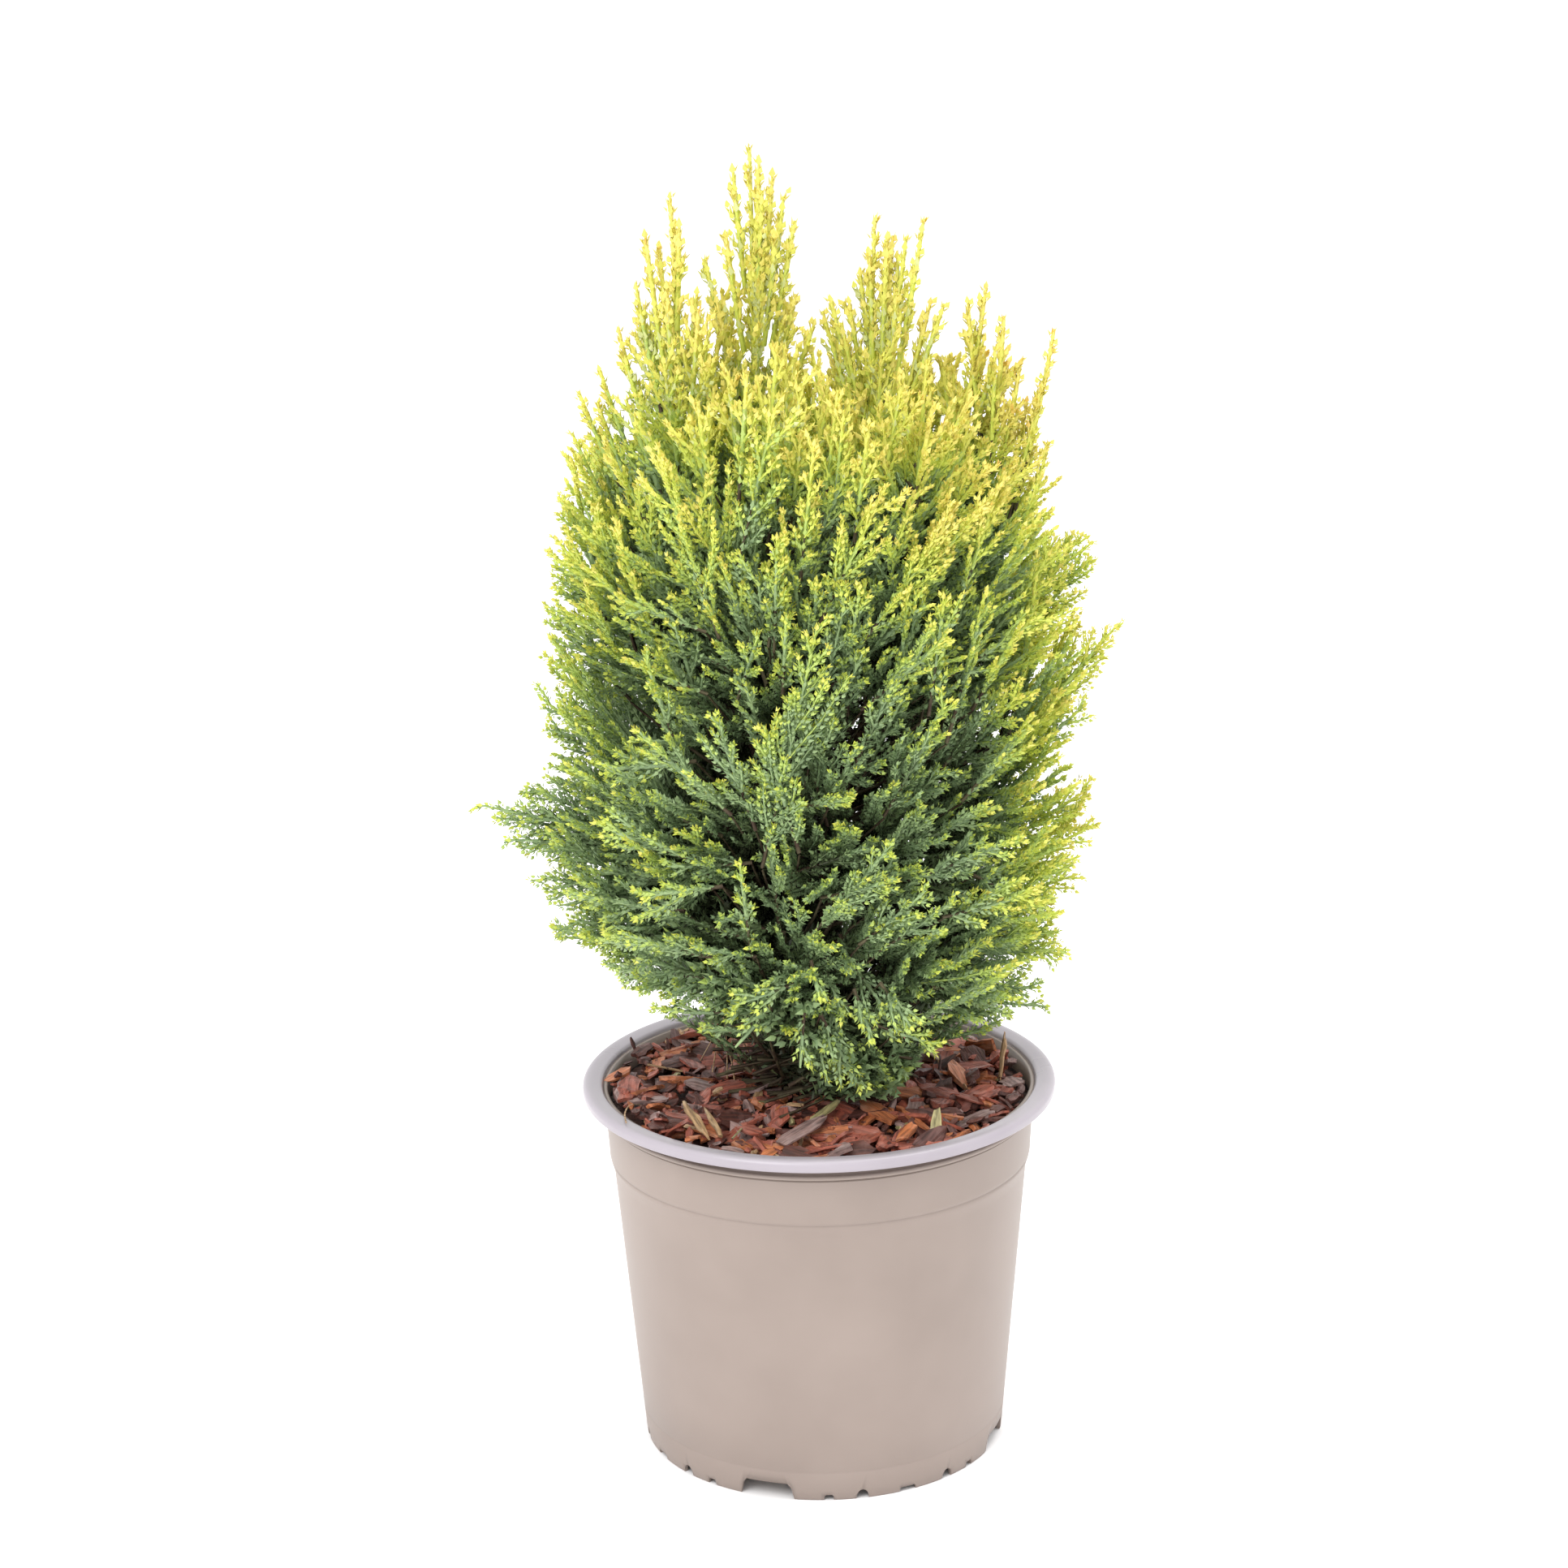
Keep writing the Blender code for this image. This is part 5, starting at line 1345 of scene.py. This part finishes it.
class CYPRESS_OT_foliage(bpy.types.Operator):
    """Grows the foliage: plumes, sprays, shoots and scale leaves, joined by leaf colour"""

    bl_idname = "cypress.foliage"
    bl_label = "Grow foliage"

    def execute(self, context):
        look = context.scene.cypress_foliage
        rough = np.random.default_rng(look.seed)
        flat, round_ones = leader_plumes(rough)
        flat = gathered(tier_plumes(rough) + placed_plumes(rough) + shell_plumes(rough) + flat)
        flat = flat.kept(flat.ends()[:, 2] > underside(flat.ends()) - 5)
        round_ones = gathered(round_ones)
        inner = gathered(inner_plumes(rough))
        inner = inner.kept(inner.ends()[:, 2] > underside(inner.ends()))
        sprays = joined_shoots([
            side_shoots(flat, FLAT_SPRAYS, spray_profile, rough, 0.02, uneven=0.3, wobble=0.24),
            side_shoots(
                round_ones, ROUND_SPRAYS, spray_profile, rough, 0.02, GOLDEN_TURN, top_spacing=1.25,
                uneven=0.3,
            ),
        ])
        sprays = sprays.kept(sprays.length > SHORTEST_SPRAY)
        ends = sprays.ends()
        sprays.length = sprays.length * np.clip(1 - (outwardness(ends) - 1.04) * 2.5, 0.35, 1)
        sprays = sprays.kept(ends[:, 2] > underside(ends))
        axes = joined_shoots([flat, round_ones])
        stubs = joined_shoots([axes])
        stubs.reach = np.full(len(stubs.reach), STUB_REACH)
        twigs = joined_shoots([
            side_shoots(sprays, TWIGS, twig_profile, rough, 0.52, lift=0.05, top_spacing=2.2, uneven=0.22),
            side_shoots(stubs, AXIS_STUBS, twig_profile, rough, 0.4, top_spacing=1.5),
        ])
        inner_sprays = side_shoots(inner, INNER_SPRAYS, spray_profile, rough, 0.2)
        inner_sprays.reach = inner_sprays.reach + 3
        inner_twigs = side_shoots(inner_sprays, INNER_TWIGS, twig_profile, rough, 0.4)

        kites, growth_and_light = [], []
        for shoots, coarse, sparse in (
            (twigs, 1, 1), (sprays, 1.1, 1.75), (axes, 1.25, 1.5), (inner_twigs, 1.75, 2.1),
            (inner_sprays, 1.75, 2.1),
        ):
            ends = shoots.ends()
            shoots = shoots.kept((shoots.length > SHORTEST_SHOOT) & (ends[:, 2] > underside(ends) - 2))
            leaves, from_tip, owner = leaves_of(
                shoots, look.leaf_step / MM * sparse, look.leaf_length / MM * coarse, look.cord / MM * coarse
            )
            value = leaf_growth_and_light(leaves[:, 2], from_tip + shoots.age[owner], shoots.hue[owner])
            kites.append(leaves)
            growth_and_light.append(value + rough.normal(0, 0.035, len(value)))
        stems = joined_shoots([axes, inner])
        cores = self.green_cores(sprays, stems)
        self.add_leaves(np.concatenate(kites), np.concatenate(growth_and_light), cores, rough)
        self.add_stalks(stems)
        return {"FINISHED"}

    def green_cores(self, sprays, stems):
        """The green cores under the leaves, in stretches, each with how new and lit it looks; they are a
        little darker than their leaves, as painted shade between them.
        """
        stems = stems.kept(stems.bare < 1)
        green_from = (stems.bare + WOODY_SHARE * (1 - stems.bare)) * (1 - topness(stems.start[:, 2] + 20))
        stretch = (1 - green_from) / 3
        thirds = [part_of(stems, green_from + k * stretch, green_from + (k + 1) * stretch) for k in range(3)]
        cores = []
        for shoots, (thick, thin) in zip([sprays] + thirds, CORE_RADII):
            ends = shoots.point(np.arange(len(shoots.length)), np.full(len(shoots.length), 0.6))
            # Lowered a little: painted shade between the leaves.
            value = leaf_growth_and_light(ends, 6.0 + shoots.age, shoots.hue) - 0.03
            cores.append((cores_of(shoots, thick, thin, 2), value))
        return cores

    def add_leaves(self, kites, growth_and_light, cores, rough):
        """Deals the leaves and cores out to the tints, and adds each tint's pieces."""
        edges = [tint[1] for tint in TINTS[:-1]]
        leaf_tint = np.digitize(growth_and_light, edges)
        lime = [tint[0] for tint in TINTS].index("lime")
        pale = (leaf_tint == lime) & (kites[:, 2, 2] + rough.normal(0, 12, len(kites)) > PALE_ABOVE)
        leaf_tint[pale] = len(TINTS)
        replaced = [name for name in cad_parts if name.startswith("foliage_")]
        for number, (tint, _, colour, slot) in enumerate(TINTS + [PALE_LIME]):
            chosen = kites[leaf_tint == number]
            points = [chosen.reshape(-1, 3)]
            faces = [4 * np.arange(len(chosen))[:, None] + triangle for triangle in KITE]
            offset = 4 * len(chosen)
            for rings, value in cores:
                picked = rings[np.digitize(value, edges) == number]
                points.append(picked.reshape(-1, 3))
                faces += core_faces(len(picked), picked.shape[1], offset)
                offset += 3 * picked.shape[1] * len(picked)
            points = np.concatenate(points) * MM
            faces = np.concatenate(faces)
            if not len(faces):
                continue
            material, shader, _ = new_material("leaf_" + tint, 0.48, 0.4)
            shader.inputs["Base Color"].default_value = colour4(colour)
            order = np.argsort(points[faces[:, 0], 2], kind="stable")
            for part, rows in enumerate(np.array_split(order, math.ceil(len(faces) / MOST_TRIANGLES))):
                used, index = np.unique(faces[rows], return_inverse=True)
                mesh = mesh_of_arrays(f"leaves_{tint}_{part}", points[used], index.reshape(-1, 3))
                add_piece(f"leaves_{tint}_{part}", mesh, material, slot, replaced)

    def add_stalks(self, stems):
        """The bare inner stalks of the plumes, brown with a little green, darkened as painted shade inside
        the crown.
        """
        leading = topness(stems.start[:, 2] + 20) * (stems.bare < 1)
        woody_to = (stems.bare + (WOODY_SHARE + 0.02) * (1 - stems.bare)) * (1 - leading)
        stalks = part_of(stems, np.zeros(len(woody_to)), woody_to)
        rings = cores_of(stalks.kept(stalks.length > 1), 0.95, 0.5, 3)
        faces = core_faces(*rings.shape[:2])
        mesh = mesh_of_arrays("plume_stalks", rings.reshape(-1, 3) * MM, np.concatenate(faces))
        material, shader, place = new_material("green_brown_stalk", 0.7, 0.3)
        fibre = place.noise(160.0, 3.0)
        # Dark browns: painted shade inside the crown.
        feed(shader, "Base Color", fibre.ramp(0.4, 0.6).mixed((0.05, 0.03, 0.018), (0.1, 0.085, 0.045)))
        add_piece("plume_stalks", mesh, material, "bark")


class CYPRESS_OT_studio(bpy.types.Operator):
    """Sets the pale floor, the soft lights and the camera"""

    bl_idname = "cypress.studio"
    bl_label = "Set up studio"

    def execute(self, context):
        scene = context.scene
        look = scene.cypress_studio

        def placed(name, data):
            thing = bpy.data.objects.new(name, data)
            scene.collection.objects.link(thing)
            return thing

        corners = [(x * FLOOR_SIZE, y * FLOOR_SIZE, 0) for x, y in ((-1, -1), (1, -1), (1, 1), (-1, 1))]
        floor_mesh = mesh_of("floor", corners, [(0, 1, 2, 3)])
        material, shader, _ = new_material("pale_floor", 0.9, 0.1)
        shader.inputs["Base Color"].default_value = colour4(FLOOR_COLOUR)
        floor_mesh.materials.append(material)
        placed("floor", floor_mesh)

        world = bpy.data.worlds.new("white_room")
        world.use_nodes = True
        surroundings = world.node_tree.nodes["Background"].inputs
        surroundings["Color"].default_value = (1, 1, 1, 1)
        surroundings["Strength"].default_value = look.fill
        scene.world = world
        for name, place, power, width in LIGHTS:
            light = bpy.data.lights.new(name, "AREA")
            light.energy = power
            light.size = width
            lamp = placed(name, light)
            lamp.location = place
            lamp.rotation_euler = (LIGHT_AIM - Vector(place)).to_track_quat("-Z", "Y").to_euler()

        yaw, pitch, roll = (math.radians(angle) for angle in CAMERA_ANGLES)
        ahead = direction(TURN / 4 - yaw, -pitch)
        right = direction(-yaw)
        up = right.cross(ahead)
        across = right * math.cos(roll) + up * math.sin(roll)
        upward = up * math.cos(roll) - right * math.sin(roll)
        turned = Matrix((across, upward, -ahead)).transposed().to_4x4()
        view = bpy.data.cameras.new("camera")
        view.lens = look.lens
        view.sensor_width = 36
        camera = placed("camera", view)
        camera.matrix_world = Matrix.Translation((0, -look.distance, look.height)) @ turned
        scene.camera = camera
        scene.view_settings.view_transform = "Standard"
        return {"FINISHED"}


class CYPRESS_PT_panel(bpy.types.Panel):
    """Lists the steps and their settings"""

    bl_label = "Potted cypress"
    bl_idname = "CYPRESS_PT_panel"
    bl_space_type = "VIEW_3D"
    bl_region_type = "UI"
    bl_category = "Cypress"

    def draw(self, context):
        for step in STEPS:
            self.layout.operator(step.bl_idname)
        for key in SETTINGS:
            group = getattr(context.scene, key)
            box = self.layout.box()
            for name in group.bl_rna.properties.keys():
                if name not in ("rna_type", "name"):
                    box.prop(group, name)


STEPS = (
    CYPRESS_OT_studio, CYPRESS_OT_pot, CYPRESS_OT_mulch, CYPRESS_OT_wood, CYPRESS_OT_foliage,
)
SETTINGS = {
    "cypress_pot": PotSettings, "cypress_mulch": MulchSettings,
    "cypress_foliage": FoliageSettings, "cypress_studio": StudioSettings,
}
CLASSES = tuple(SETTINGS.values()) + STEPS + (CYPRESS_PT_panel,)


def register():
    for each in CLASSES:
        bpy.utils.register_class(each)
    for key, group in SETTINGS.items():
        setattr(bpy.types.Scene, key, PointerProperty(type=group))


def unregister():
    for key in SETTINGS:
        delattr(bpy.types.Scene, key)
    for each in reversed(CLASSES):
        bpy.utils.unregister_class(each)


def main():
    register()
    bpy.ops.cypress.studio()
    bpy.ops.cypress.pot()
    bpy.ops.cypress.mulch()
    bpy.ops.cypress.wood()
    bpy.ops.cypress.foliage()


if __name__ == "__main__":
    main()
